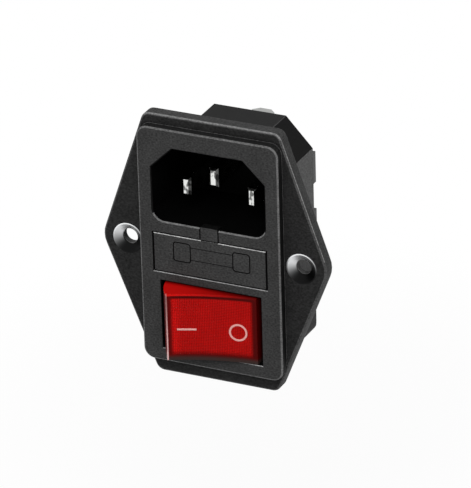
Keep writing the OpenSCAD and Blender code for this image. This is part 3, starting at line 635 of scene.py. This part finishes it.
class Zone(Enum):
    """Tone, roughness and grain of each zone of the black mouldings and the pins, with painted
    highlights, painted light and painted shade in many of the tones.
    """

    FACE = (0.0305, 0.62, 1.0)
    # Painted highlight on the bezel's rounded edge, painted shade on its top and sides.
    BEZEL_EDGE_HIGHLIGHT = (0.10, 0.45, 0.3)
    BEZEL_TOP_SHADE = (0.011, 0.5, 0.2)
    BEZEL_SIDE_SHADE = (0.006, 0.5, 0.2)
    # Painted highlights on the upward lips of the openings, painted shade on their other lips.
    RECESS_LIP_HIGHLIGHT = (0.12, 0.5, 0.2)
    BAY_LIP_HIGHLIGHT = (0.24, 0.5, 0.2)
    SHADED_LIP = (0.004, 0.5, 0.2)
    # Painted shade inside the inlet recess and the bays.
    RECESS = (0.0012, 0.6, 0.3)
    BAY = (0.003, 0.6, 0.3)
    FLANGE = (0.0150, 0.5, 0.25)
    # Painted highlight on the flange's top edge, painted light on its other edges and painted shade
    # at its foot.
    FLANGE_TOP_HIGHLIGHT = (0.15, 0.45, 0.3)
    LIT_FLANGE_EDGE = (0.05, 0.45, 0.3)
    FLANGE_FOOT_SHADE = (0.006, 0.5, 0.3)
    FLANGE_BACK = (0.012, 0.55, 0.4)
    # Painted light on the flange's rims, stronger on the top rim.
    TOP_RIM = (0.040, 0.5, 0.6)
    RIM = (0.032, 0.5, 0.6)
    # Painted highlight on the shoulders' edge, painted shade on the body's top and painted light on
    # its sides.
    SHOULDER_HIGHLIGHT = (0.05, 0.45, 0.2)
    BODY_TOP_SHADE = (0.0020, 0.36, 0.2)
    LIT_BODY_SIDE = (0.060, 0.45, 0.4)
    BODY_BACK = (0.018, 0.45, 0.4)
    DRAWER_FACE = (0.0330, 0.62, 1.0)
    # Painted highlight on the drawer's top edge, painted shade on its edges, grooves and tray.
    DRAWER_TOP_HIGHLIGHT = (0.36, 0.5, 0.2)
    DRAWER_EDGE_SHADE = (0.003, 0.5, 0.2)
    DRAWER_GROOVE_SHADE = (0.0012, 0.5, 0.3)
    DRAWER_TRAY_SHADE = (0.004, 0.5, 0.3)
    PIN_SIDE = (1.0, 0.2, 0.3)
    # Painted dark reflection on the pins' upper and right bevels.
    PIN_BEVEL_REFLECTION = (0.12, 0.2, 0.3)


def body_of(node: str) -> str:
    """The name of the body that a node moves with."""
    return frame["nodes"][node]["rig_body"]


def dress_node(node: str, finish: Finishes) -> None:
    """Gives a node that stays its finish.

    Args:
        node: Name of the node.
        finish: The finish of its whole surface.
    """
    shown = frame["nodes"][node]
    for slot in shown.material_slots:
        slot.material = finish.value.material()
    LOG.info("%s keeps its shape, finish %s", node, finish.value.name)


def add_piece(name: str, mesh: bpy.types.Mesh, finish: Finishes, body: str,
              stands_for: Sequence[str] = ()) -> bpy.types.Object:
    """Adds a finished mesh to the object.

    Args:
        name: Name of the piece.
        mesh: Its mesh, in place.
        finish: Its finish.
        body: The body that it moves with.
        stands_for: The nodes that it replaces.

    Returns:
        The new object.
    """
    mesh.name = name
    mesh.materials.clear()
    mesh.materials.append(finish.value.material())
    piece = bpy.data.objects.new(name, mesh)
    bpy.context.scene.collection.objects.link(piece)
    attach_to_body(piece, body)
    if stands_for:
        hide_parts(*stands_for)
    LOG.info("%s rides on %s, %d faces", name, body, len(mesh.polygons))
    return piece


def baked(mesh: bpy.types.Mesh, change: Callable[[bpy.types.Object], None]) -> bpy.types.Mesh:
    """Runs modifiers on a mesh and returns the plain result.

    Args:
        mesh: The mesh to start from.
        change: Adds the modifiers to the object that it is given.

    Returns:
        A new mesh with no modifier on it.
    """
    carrier = bpy.data.objects.new("carrier", mesh)
    bpy.context.scene.collection.objects.link(carrier)
    change(carrier)
    bpy.context.view_layer.update()
    shaped = carrier.evaluated_get(bpy.context.evaluated_depsgraph_get())
    result = bpy.data.meshes.new_from_object(shaped)
    carrier.modifiers.clear()
    bpy.data.objects.remove(carrier)
    bpy.data.meshes.remove(mesh)
    return result


@dataclass(frozen=True)
class EdgeBreak:
    """How the sharp edges of a moulded or stamped piece are broken."""

    width: float
    steps: int = 2
    min_angle: float = 40.0
    smooth_angle: float = 32.0
    merge: float = 0.002
    flat_angle: float = 0.4

    def copy_of(self, node: str) -> bpy.types.Mesh:
        """A merged copy of a node's mesh with its edges broken.

        Args:
            node: Name of the node.

        Returns:
            The new mesh, in the node's place.
        """
        shape = bmesh.new()
        shape.from_mesh(frame["nodes"][node].data)
        bmesh.ops.remove_doubles(shape, verts=shape.verts, dist=self.merge * MM)
        bmesh.ops.dissolve_limit(shape, angle_limit=math.radians(self.flat_angle),
                                 verts=shape.verts, edges=shape.edges)
        self._mark(shape)
        mesh = bpy.data.meshes.new(node)
        shape.to_mesh(mesh)
        shape.free()
        return baked(mesh, self._bevel) if self.width > 0 else mesh

    def _mark(self, shape: bmesh.types.BMesh) -> None:
        """Marks what is smooth and what is sharp.

        Args:
            shape: The merged copy.
        """
        limit = math.radians(self.smooth_angle)
        for face in shape.faces:
            face.smooth = True
        for edge in shape.edges:
            edge.smooth = edge.is_manifold and edge.calc_face_angle(math.pi) < limit

    def _bevel(self, carrier: bpy.types.Object) -> None:
        """Adds the bevel.

        Args:
            carrier: The object that holds the mesh.
        """
        bevel = carrier.modifiers.new("edge_break", "BEVEL")
        bevel.width = self.width * MM
        bevel.segments = self.steps
        bevel.limit_method = "ANGLE"
        bevel.angle_limit = math.radians(self.min_angle)
        bevel.use_clamp_overlap = True
        bevel.harden_normals = True


class Facet:
    """One face of a mesh: its middle in millimetres and the way it looks."""

    # Least shares of the normal: straight ahead, leaning, up at all, mostly up, and straight.
    FLAT = 0.97
    LEANING = 0.2
    UPWARD = 0.3
    TOP = 0.5
    STRAIGHT = 0.9

    def __init__(self, centre: Vector, normal: Vector) -> None:
        """Works out which way the face looks.

        Args:
            centre: Its middle, in metres.
            normal: Its normal.
        """
        self.x, self.y, self.z = (c / MM for c in centre)
        self.normal = normal
        self.flat = normal.y < -self.FLAT
        self.slanted = not self.flat and normal.y < -self.LEANING
        self.upward = normal.z > self.UPWARD


def paint_zones(mesh: bpy.types.Mesh, rule: Callable[[Facet], Zone]) -> None:
    """Writes tone, roughness and grain to a mesh's corners.

    Args:
        mesh: The mesh that is painted.
        rule: Gives a face's zone.
    """
    faces = [(rule(Facet(face.center, face.normal)).value, face.loop_total)
             for face in mesh.polygons]
    for k, name in enumerate(("tone", "rough", "grain")):
        layer = mesh.attributes.new(name, "FLOAT", "CORNER")
        corners = [zone[k] for zone, count in faces for _ in range(count)]
        layer.data.foreach_set("value", corners)


def write_local(mesh: bpy.types.Mesh, place: Matrix) -> None:
    """Writes each point's place in a part's own millimetres.

    Args:
        mesh: The mesh that carries the layer.
        place: The part's own frame.
    """
    back = place.inverted()
    own = mesh.attributes.new("local", "FLOAT_VECTOR", "POINT")
    own.data.foreach_set("vector", [c for vertex in mesh.vertices for c in back @ vertex.co])


def closed_mesh(shape: bmesh.types.BMesh, name: str) -> bpy.types.Mesh:
    """Turns a bmesh into a mesh and frees it.

    Args:
        shape: The shape.
        name: Name of the mesh.

    Returns:
        The mesh.
    """
    mesh = bpy.data.meshes.new(name)
    shape.to_mesh(mesh)
    shape.free()
    return mesh


class TreeBuilder(Graph):
    """The tree of a shape, with named inputs."""

    def __init__(self, name: str, counts: Sequence[str], sizes: Sequence[str]) -> None:
        """Starts the tree with its inputs, a material's among them.

        Args:
            name: Name of the tree.
            counts: Names of the whole numbers that it takes.
            sizes: Names of the other numbers.
        """
        super().__init__(bpy.data.node_groups.new(name, "GeometryNodeTree"))
        kinds = [(label, "NodeSocketInt") for label in counts]
        kinds += [(label, "NodeSocketFloat") for label in sizes]
        panel = self.tree.interface
        for label, kind in (*kinds, ("Material", "NodeSocketMaterial")):
            panel.new_socket(label, in_out="INPUT", socket_type=kind)
        panel.new_socket("Geometry", in_out="OUTPUT", socket_type="NodeSocketGeometry")
        outputs = self.node("NodeGroupInput").socket.node.outputs
        self.given = [Value(self, outputs[label]) for label, _ in kinds]
        self.paint = Value(self, outputs["Material"])

    def close(self, geometry: Value) -> None:
        """Ends the tree in real geometry with its material set.

        Args:
            geometry: What the tree makes.
        """
        real = self.node("GeometryNodeRealizeInstances", {}, {0: geometry})
        painted = self.node("GeometryNodeSetMaterial", {}, {0: real, "Material": self.paint})
        self.node("NodeGroupOutput", {}, {0: painted})

    def run(self, values: Dict[str, object]) -> bpy.types.Mesh:
        """Makes the tree's mesh for one set of inputs.

        Args:
            values: A value for each named input.

        Returns:
            A plain mesh.
        """
        def attach(carrier: bpy.types.Object) -> None:
            """Adds the tree as a modifier.

            Args:
                carrier: The object that carries it.
            """
            modifier = carrier.modifiers.new(self.tree.name, "NODES")
            modifier.node_group = self.tree
            for item in self.tree.interface.items_tree:
                if item.in_out == "INPUT" and item.name in values:
                    modifier[item.identifier] = values[item.name]
        return baked(bpy.data.meshes.new(self.tree.name), attach)


@dataclass
class Housing:
    """The one-piece moulding: flange, raised bezel and the body behind the panel.

    An opening is given by its half width and its lower and upper height.
    """

    flange_t: float = 2.8
    bezel_rise: float = 2.0
    recess: Point3 = (12.3, 5.7, 22.0)
    drawer_bay: Point3 = (12.4, -5.1, 3.7)
    tab_notch: Point3 = (2.15, 3.0, 6.2)
    rocker_bay: Point3 = (10.95, -21.75, -6.55)
    outline: Point3 = (15.2, -24.5, 25.9)
    recess_roof: float = 6.0
    lip_depth: float = 0.4
    wall_from: float = 0.1
    rim_depth: float = 0.2
    shoulder_z: float = 23.2
    shoulder_lean: Span = (0.1, 0.66)
    shoulder_up: float = 0.7
    body_top: float = 0.4
    edge: EdgeBreak = EdgeBreak(0.1, 2, 46.0)

    def build(self) -> None:
        """Makes the housing's shell and paints its zones."""
        mesh = self.edge.copy_of("housing")
        paint_zones(mesh, self.zone)
        add_piece("housing_shell", mesh, Finishes.CASE, body_of("housing"),
                  ["housing"])

    @staticmethod
    def _inside(span: Point3, facet: Facet) -> bool:
        """Whether a face lies within an opening's half width and its two heights."""
        return abs(facet.x) < span[0] and span[1] < facet.z < span[2]

    def zone(self, facet: Facet) -> Zone:
        """Finds the zone of one face.

        Args:
            facet: The face.

        Returns:
            The zone.
        """
        depth = facet.y + self.flange_t + self.bezel_rise
        above = facet.z > self.recess[2] - self.recess_roof and facet.upward
        in_recess = self._inside(self.recess, facet) and not above
        bays = (self.drawer_bay, self.tab_notch, self.rocker_bay)
        in_opening = in_recess or any(self._inside(bay, facet) for bay in bays)
        if facet.flat and abs(facet.y + self.flange_t) < SLACK_MM:
            return Zone.FLANGE
        # Upward lips get a painted highlight, the other lips painted shade.
        if depth < self.lip_depth and facet.slanted and in_opening:
            light = Zone.RECESS_LIP_HIGHLIGHT if in_recess else Zone.BAY_LIP_HIGHLIGHT
            return light if facet.upward else Zone.SHADED_LIP
        # Walls inside the openings get painted shade.
        if depth > self.wall_from and in_opening:
            return Zone.RECESS if in_recess else Zone.BAY
        if depth < self.bezel_rise - SLACK_MM:
            return self._on_bezel(depth, facet)
        return self._on_flange(facet) if facet.y < SLACK_MM else self._on_body(facet)

    @staticmethod
    def _on_bezel(depth: float, facet: Facet) -> Zone:
        """Zones of the bezel: its grained face, its edge with a painted highlight and its top and
        sides with painted shade.

        Args:
            depth: How far behind the bezel's face it lies.
            facet: The face.

        Returns:
            The zone.
        """
        if facet.flat and depth < SLACK_MM:
            return Zone.FACE
        if facet.slanted:
            return Zone.BEZEL_EDGE_HIGHLIGHT
        return Zone.BEZEL_TOP_SHADE if facet.normal.z > Facet.TOP else Zone.BEZEL_SIDE_SHADE

    def _on_flange(self, facet: Facet) -> Zone:
        """Zones of the flange behind its front: its edges with painted highlight and light, its foot
        with painted shade, its rims with painted light and its back.

        Args:
            facet: The face.

        Returns:
            The zone.
        """
        if facet.slanted and not self._inside(self.outline, facet):
            return Zone.FLANGE_TOP_HIGHLIGHT if facet.upward else Zone.LIT_FLANGE_EDGE
        if facet.y + self.flange_t < self.rim_depth:
            return Zone.FLANGE_FOOT_SHADE
        if facet.normal.y > Facet.STRAIGHT:
            return Zone.FLANGE_BACK
        # Painted light on the rims, stronger on top.
        return Zone.TOP_RIM if facet.normal.z > Facet.TOP else Zone.RIM

    def _on_body(self, facet: Facet) -> Zone:
        """Zones of the body: its top with painted shade, a painted highlight on the edge of its
        shoulders and painted light on its sides.

        Args:
            facet: The face.

        Returns:
            The zone.
        """
        aside, upward = abs(facet.normal.x), facet.normal.z
        least, most = self.shoulder_lean
        if facet.z > self.shoulder_z or (least < aside < most and upward > self.shoulder_up):
            return Zone.SHOULDER_HIGHLIGHT
        if upward > self.body_top:
            return Zone.BODY_TOP_SHADE
        return Zone.LIT_BODY_SIDE if aside > Facet.STRAIGHT else Zone.BODY_BACK


@dataclass
class RearCover:
    """The plate that closes the back, with its latches."""

    edge: EdgeBreak = EdgeBreak(0.1, 2)

    def build(self) -> None:
        """Makes the cover."""
        add_piece("cover_plate", self.edge.copy_of("rear_cover"), Finishes.COVER,
                  body_of("rear_cover"), ["rear_cover"])


@dataclass
class Hardware:
    """Screw eyelets, inlet pins and terminals."""

    edge: EdgeBreak = EdgeBreak(0.05, 2)
    eyelet_edge: EdgeBreak = EdgeBreak(0.0)
    pin_front: float = 0.95

    def build(self) -> None:
        """Makes each metal piece that shows."""
        for side in ("left", "right"):
            node = f"eyelet_{side}"
            ring = self.eyelet_edge.copy_of(node)
            low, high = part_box(node)
            middle = Vector(((low.x + high.x) / 2, low.y, (low.z + high.z) / 2))
            write_local(ring, Matrix.Translation(middle) @ Matrix.Scale(MM, 4))
            add_piece(f"screw_{node}", ring, Finishes.EYELET, body_of(node), [node])
        for node in ("earth_pin", "line_pin", "neutral_pin"):
            pin = self.edge.copy_of(node)
            paint_zones(pin, self.pin_zone)
            add_piece(f"{node}_blade", pin, Finishes.PIN, body_of(node), [node])
        for node in ("line_contact", "fuse_contact"):
            add_piece(f"{node}_strip", self.edge.copy_of(node), Finishes.COPPER,
                      body_of(node), [node])
        for kind in ("common_terminal", "switched_terminal"):
            for level in ("upper", "lower"):
                node = f"{kind}_{level}"
                add_piece(f"{node}_tab", self.edge.copy_of(node), Finishes.BRASS,
                          body_of(node), [node])

    def pin_zone(self, facet: Facet) -> Zone:
        """Zone of a pin's face, whose upper and right bevels get a painted dark reflection.

        Args:
            facet: The face.

        Returns:
            The zone.
        """
        normal, least = facet.normal, Facet.LEANING
        bevel = -self.pin_front < normal.y < -least
        return Zone.PIN_BEVEL_REFLECTION if bevel and max(normal.z, normal.x) > least else Zone.PIN_SIDE


@dataclass
class FuseDrawer:
    """The drawer with the fuse in use and the spare one."""

    edge: EdgeBreak = EdgeBreak(0.08, 2, 50.0)
    cap_edge: EdgeBreak = EdgeBreak(0.08, 2)
    top_edge: Span = (3.08, 3.38)
    lip_depth: float = 0.15
    groove_depth: float = 0.25

    def build(self) -> None:
        """Makes the drawer and what lies in it."""
        mesh = self.edge.copy_of("fuse_drawer")
        paint_zones(mesh, self.zone)
        add_piece("drawer_tray", mesh, Finishes.CASE, body_of("fuse_drawer"),
                  ["fuse_drawer"])
        for prefix in ("", "spare_"):
            dress_node(f"{prefix}fuse_glass", Finishes.GLASS)
            dress_node(f"{prefix}fuse_wire", Finishes.TINNED)
            node = f"{prefix}fuse_caps"
            add_piece(f"{node}_pair", self.cap_edge.copy_of(node), Finishes.NICKEL,
                      body_of(node), [node])

    def zone(self, facet: Facet) -> Zone:
        """Zone of one face: painted shade in the grooves, edges and tray, and a painted highlight
        along the top edge.

        Args:
            facet: The face.

        Returns:
            The zone.
        """
        depth = facet.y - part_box("fuse_drawer")[0].y / MM
        if facet.flat and depth < SLACK_MM:
            return Zone.DRAWER_FACE
        if (facet.flat or facet.slanted) and depth < self.lip_depth:
            on_top = self.top_edge[0] < facet.z < self.top_edge[1] and facet.upward
            return Zone.DRAWER_TOP_HIGHLIGHT if on_top else Zone.DRAWER_EDGE_SHADE
        return Zone.DRAWER_GROOVE_SHADE if depth < self.groove_depth else Zone.DRAWER_TRAY_SHADE


@dataclass
class RockerSwitch:
    """The red rocker with its ribs and marks, and the contacts behind it."""

    rest_tilt: float = 16.0
    radius: float = 9.9
    rise: float = 4.35
    dish: float = 0.8
    edge: EdgeBreak = EdgeBreak(0.16, 3, 50.0)
    cell: float = CELL_MM
    cell_rise: float = 0.06
    cell_sink: float = 0.03
    stud_foot: float = 0.69
    stud_top: float = 0.35
    cell_columns: int = 47
    cell_rows: int = 35
    mark_z: float = -0.5
    line_mark: Span = (-5.02, 3.75)
    line_steps: int = 12
    ring_mark: Span = (5.1, 3.3)
    ring_z: float = -0.69
    ring_steps: int = 56
    stroke: float = 0.4
    stroke_rise: float = 0.05
    stroke_sink: float = 0.05
    stroke_side: float = 0.7
    stroke_top: float = 0.8
    pole_pitch: float = 7.2
    coil_r: float = 1.0
    coil_wire: float = 0.32
    coil_turns: float = 5.0
    coil_start: float = -1.65
    coil_rise: float = 3.14
    coil_steps: int = 28
    wire_steps: int = 10

    def __post_init__(self) -> None:
        """Works out the dish's arc and the rocker's place."""
        self.chord = math.sqrt(self.radius ** 2 - self.rise ** 2)
        self.dish_r = (self.chord ** 2 + self.dish ** 2) / (2 * self.dish)
        self.dish_y = -self.rise + self.dish - self.dish_r
        joint = next(j for j in frame["joints"] if j["name"] == "rocker_rock")
        self.place = (Matrix.Translation(Vector(joint["pos_m"]))
                      @ Matrix.Rotation(math.radians(self.rest_tilt), 4, "Z") @ Matrix.Scale(MM, 4))

    def build(self) -> None:
        """Makes the rocker and all that moves with it or behind it."""
        shell = self.edge.copy_of("rocker")
        write_local(shell, self.place)
        add_piece("rocker_shell", shell, Finishes.LENS, body_of("rocker"), ["rocker"])
        self._waffle()
        self._line_mark()
        self._ring_mark()
        self._springs()
        for node, finish in (("neon_lamp", Finishes.LAMP), ("lamp_electrodes", Finishes.TINNED),
                             ("lamp_resistor", Finishes.RESISTOR), ("lamp_leads", Finishes.TINNED)):
            dress_node(node, finish)
        for level in ("upper", "lower"):
            dress_node(f"plunger_{level}", Finishes.BRASS)
            dress_node(f"contact_lever_{level}", Finishes.COPPER)
            dress_node(f"lever_contact_{level}", Finishes.SILVER)
            dress_node(f"fixed_contact_{level}", Finishes.SILVER)

    def _on_face(self, x: float, z: float, lift: float) -> Point3:
        """A point above the dished front, in the rocker's own millimetres."""
        return x, self.dish_y + math.sqrt(self.dish_r ** 2 - x ** 2) - lift, z

    def _line_mark(self) -> None:
        """The upright stroke of the on side."""
        middle, long = self.line_mark
        steps = [i / self.line_steps - 0.5 for i in range(self.line_steps + 1)]
        self._mark("on_mark", [(middle + long * step, self.mark_z) for step in steps], False)

    def _ring_mark(self) -> None:
        """The ring of the off side."""
        middle, wide = self.ring_mark
        turns = [2 * math.pi * i / self.ring_steps for i in range(self.ring_steps)]
        self._mark("off_mark", [(middle + wide / 2 * math.cos(turn),
                                 self.ring_z + wide / 2 * math.sin(turn)) for turn in turns], True)

    def _waffle(self) -> None:
        """Fine square cells over the dished front."""
        build = TreeBuilder("lens_waffle", ("Columns", "Rows"),
                            ("Cell", "Arc Radius", "Arc Centre", "Rise", "Sink"))
        columns, rows, cell, radius, centre, rise, sink = build.given
        grid = build.node("GeometryNodeMeshGrid", {}, {
            "Size X": (columns - 1.0) * cell, "Size Y": (rows - 1.0) * cell,
            "Vertices X": columns, "Vertices Y": rows})
        x, z, _ = build.parts(build.node("GeometryNodeInputPosition"))
        level = centre + (radius * radius - x * x).apply("SQRT") + sink
        place = build.node("ShaderNodeCombineXYZ", {}, {0: x, 1: level, 2: z})
        bent = build.node("GeometryNodeSetPosition", {}, {"Geometry": grid, "Position": place})
        turn = build.node("ShaderNodeCombineXYZ", {}, {
            0: math.radians(90), 1: math.radians(45), 2: (x / radius).apply("ARCSINE") * -1.0})
        foot = cell * self.stud_foot
        stud = build.node("GeometryNodeMeshCone", {}, {
            "Vertices": 4, "Radius Top": foot * self.stud_top, "Radius Bottom": foot,
            "Depth": rise + sink})
        build.close(build.node("GeometryNodeInstanceOnPoints", {}, {
            "Points": bent, "Instance": stud, "Rotation": turn}))
        mesh = build.run({
            "Columns": self.cell_columns, "Rows": self.cell_rows, "Cell": self.cell,
            "Arc Radius": self.dish_r, "Arc Centre": self.dish_y, "Rise": self.cell_rise,
            "Sink": self.cell_sink, "Material": Finishes.LENS.value.material()})
        mesh.transform(self.place)
        write_local(mesh, self.place)
        add_piece("rocker_waffle", mesh, Finishes.LENS, body_of("rocker"))

    def _mark(self, name: str, path: List[Point2], closed: bool) -> None:
        """A printed stroke that follows the dished front.

        Args:
            name: Name of the piece.
            path: Middle of the stroke, as points across the front.
            closed: Whether the stroke runs round to its start.
        """
        half = self.stroke / 2
        top = self.cell_rise + self.stroke_rise
        side_up, sunk = top * self.stroke_side, -self.stroke_sink
        section = [(-half, sunk), (-half, side_up), (-half * self.stroke_top, top),
                   (half * self.stroke_top, top), (half, side_up), (half, sunk)]
        count = len(path)
        shape = bmesh.new()
        rings = []
        for i, (x, z) in enumerate(path):
            before = path[(i - 1) % count] if closed else path[max(i - 1, 0)]
            after = path[(i + 1) % count] if closed else path[min(i + 1, count - 1)]
            along = Vector((after[0] - before[0], after[1] - before[1])).normalized()
            side = Vector((-along.y, along.x))
            rings.append([shape.verts.new(self._on_face(x + side.x * s, z + side.y * s, lift))
                          for s, lift in section])
        pairs = list(zip(rings, rings[1:])) + ([(rings[-1], rings[0])] if closed else [])
        for first, second in pairs:
            for k in range(len(section)):
                n = (k + 1) % len(section)
                shape.faces.new((first[k], first[n], second[n], second[k]))
        if not closed:
            shape.faces.new(rings[0])
            shape.faces.new(list(reversed(rings[-1])))
        bmesh.ops.recalc_face_normals(shape, faces=shape.faces)
        mesh = closed_mesh(shape, name)
        mesh.transform(self.place)
        add_piece(name, mesh, Finishes.INK, body_of("rocker"))

    def _springs(self) -> None:
        """The two coil springs that press the plungers."""
        build = TreeBuilder("coil_spring", (), ("Turns", "Radius", "Rise", "Wire Radius"))
        turns, radius, rise, wire = build.given
        coil = build.node("GeometryNodeCurveSpiral", {}, {
            "Resolution": self.coil_steps, "Rotations": turns, "Start Radius": radius,
            "End Radius": radius, "Height": rise})
        ring = build.node("GeometryNodeCurvePrimitiveCircle", {}, {
            "Resolution": self.wire_steps, "Radius": wire})
        swept = build.node("GeometryNodeCurveToMesh", {}, {
            "Curve": coil, "Profile Curve": ring, "Fill Caps": True})
        build.close(build.node("GeometryNodeSetShadeSmooth", {}, {0: swept}))
        stand = Matrix.Rotation(math.radians(-90), 4, "X")
        for level, side in (("upper", 1), ("lower", -1)):
            mesh = build.run({
                "Turns": self.coil_turns, "Radius": self.coil_r, "Rise": self.coil_rise,
                "Wire Radius": self.coil_wire / 2, "Material": Finishes.STEEL.value.material()})
            seat = Matrix.Translation((0, self.coil_start, side * self.pole_pitch / 2))
            mesh.transform(self.place @ seat @ stand)
            node = f"plunger_spring_{level}"
            add_piece(f"{node}_coil", mesh, Finishes.STEEL, body_of(node), [node])


@dataclass
class AreaLamp:
    """A soft box that points at the inlet."""

    name: str
    place: Point3
    size: float
    power: float

    def build(self, target: Vector) -> None:
        """Adds the lamp, which mirrors don't show.

        Args:
            target: The point that the lamp is turned towards.
        """
        data = bpy.data.lights.new(self.name, "AREA")
        data.shape = "SQUARE"
        data.size = self.size
        data.energy = self.power
        lamp = bpy.data.objects.new(self.name, data)
        bpy.context.scene.collection.objects.link(lamp)
        lamp.location = self.place
        lamp.rotation_euler = (target - Vector(self.place)).to_track_quat("-Z", "Y").to_euler()
        lamp.visible_glossy = False


@dataclass
class Studio:
    """Pale floor, soft light and the camera at the photograph's angle."""

    floor_drop: float = 0.087
    floor_half: float = 6.0
    azimuth: float = 25.81
    elevation: float = 25.65
    roll: float = -1.69
    distance: float = 0.939
    pan: Span = (5.02, 2.01)
    aim: Point3 = (0.0, -4.8, 0.7)
    focal_px: float = 4855.6
    image_h: float = 488.0
    sensor: float = 36.0
    nearest: float = 0.01
    world_level: float = 0.2
    floor_tone: float = 0.8
    camera_share: float = 0.93
    foot: Point2 = (-0.02, 0.07)
    foot_r: float = 0.03
    foot_fade: float = 0.09

    def build(self) -> None:
        """Adds the camera, the floor, the world and the lamps."""
        self._camera()
        self._floor()
        self._world()
        for lamp in (AreaLamp("key_softbox", (0.25, -0.75, 0.85), size=0.7, power=13.0),
                     AreaLamp("side_softbox", (0.9, 0.25, 0.25), size=0.5, power=4.0),
                     AreaLamp("left_softbox", (-0.8, -0.5, 0.3), size=0.5, power=2.5)):
            lamp.build(Vector((0, 0, 0)))
        bpy.context.scene.view_settings.view_transform = "Standard"

    def _camera(self) -> None:
        """Places the camera."""
        a, e, r = (math.radians(d) for d in (self.azimuth, self.elevation, self.roll))
        right = Vector((math.cos(a), math.sin(a), 0))
        ahead = Vector((-math.sin(a) * math.cos(e), math.cos(a) * math.cos(e), -math.sin(e)))
        above = right.cross(ahead)
        across = math.cos(r) * right + math.sin(r) * above
        upward = -math.sin(r) * right + math.cos(r) * above
        place = (Vector(self.aim) * MM - self.distance * ahead
                 + self.pan[0] * MM * across + self.pan[1] * MM * upward)
        data = bpy.data.cameras.new("photo_camera")
        data.sensor_width = self.sensor
        data.lens = self.sensor * self.focal_px / self.image_h
        data.clip_start = self.nearest
        camera = bpy.data.objects.new("photo_camera", data)
        bpy.context.scene.collection.objects.link(camera)
        turn = Matrix((across, upward, -ahead)).transposed().to_4x4()
        camera.matrix_world = Matrix.Translation(place) @ turn
        bpy.context.scene.camera = camera

    def _shown_directly(self, graph: Graph) -> Value:
        """One for the camera's, mirrored and refracted rays, which show the backdrop as it is.

        Args:
            graph: The tree of the floor or of the world.

        Returns:
            One or zero.
        """
        camera, glossy, through = (graph.node("ShaderNodeLightPath", out=name) for name in (
            "Is Camera Ray", "Is Glossy Ray", "Is Transmission Ray"))
        return (camera + glossy + through) > 0.5

    def _floor(self) -> None:
        """Adds the floor, which shows white and keeps the object's shadow."""
        shape = bmesh.new()
        corners = [(x * self.floor_half, y * self.floor_half, -self.floor_drop)
                   for x, y in ((-1, -1), (1, -1), (1, 1), (-1, 1))]
        shape.faces.new([shape.verts.new(c) for c in corners])
        floor = bpy.data.objects.new("floor", closed_mesh(shape, "floor"))
        bpy.context.scene.collection.objects.link(floor)
        material = bpy.data.materials.new("floor_paper")
        material.use_nodes = True
        graph = Graph(material.node_tree)
        paper = graph.node("ShaderNodeBsdfDiffuse", {}, {"Color": rgba((self.floor_tone,) * 3)})
        white = graph.node("ShaderNodeEmission", {}, {"Color": rgba(WHITE), "Strength": 1.0})
        across, back, _ = graph.parts(graph.point())
        aside, behind = across - self.foot[0], back - self.foot[1]
        away = aside * aside + behind * behind
        span = (self.foot_r ** 2, (self.foot_r + self.foot_fade) ** 2)
        shown = graph.ramp(away, span, self.camera_share, 1.0)
        share = self._shown_directly(graph) * shown
        both = graph.node("ShaderNodeMixShader", {}, {0: share, 1: paper, 2: white})
        graph.node("ShaderNodeOutputMaterial", {}, {"Surface": both})
        floor.data.materials.append(material)

    def _world(self) -> None:
        """Sets a white backdrop and a low, even light."""
        world = bpy.data.worlds.new("studio")
        world.use_nodes = True
        bpy.context.scene.world = world
        graph = Graph(world.node_tree)
        strength = self.world_level + self._shown_directly(graph) * (1 - self.world_level)
        back = graph.node("ShaderNodeBackground", {}, {"Color": rgba(WHITE), "Strength": strength})
        graph.node("ShaderNodeOutputWorld", {}, {"Surface": back})


def main() -> None:
    """Builds each sub-assembly in order and reports its pieces."""
    logging.basicConfig(level=logging.INFO, format="%(name)s %(message)s")
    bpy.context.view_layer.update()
    Studio().build()
    for part in (Housing(), RearCover(), Hardware(), FuseDrawer(), RockerSwitch()):
        LOG.info("building %s", type(part).__name__)
        part.build()


if __name__ == "__main__":
    main()
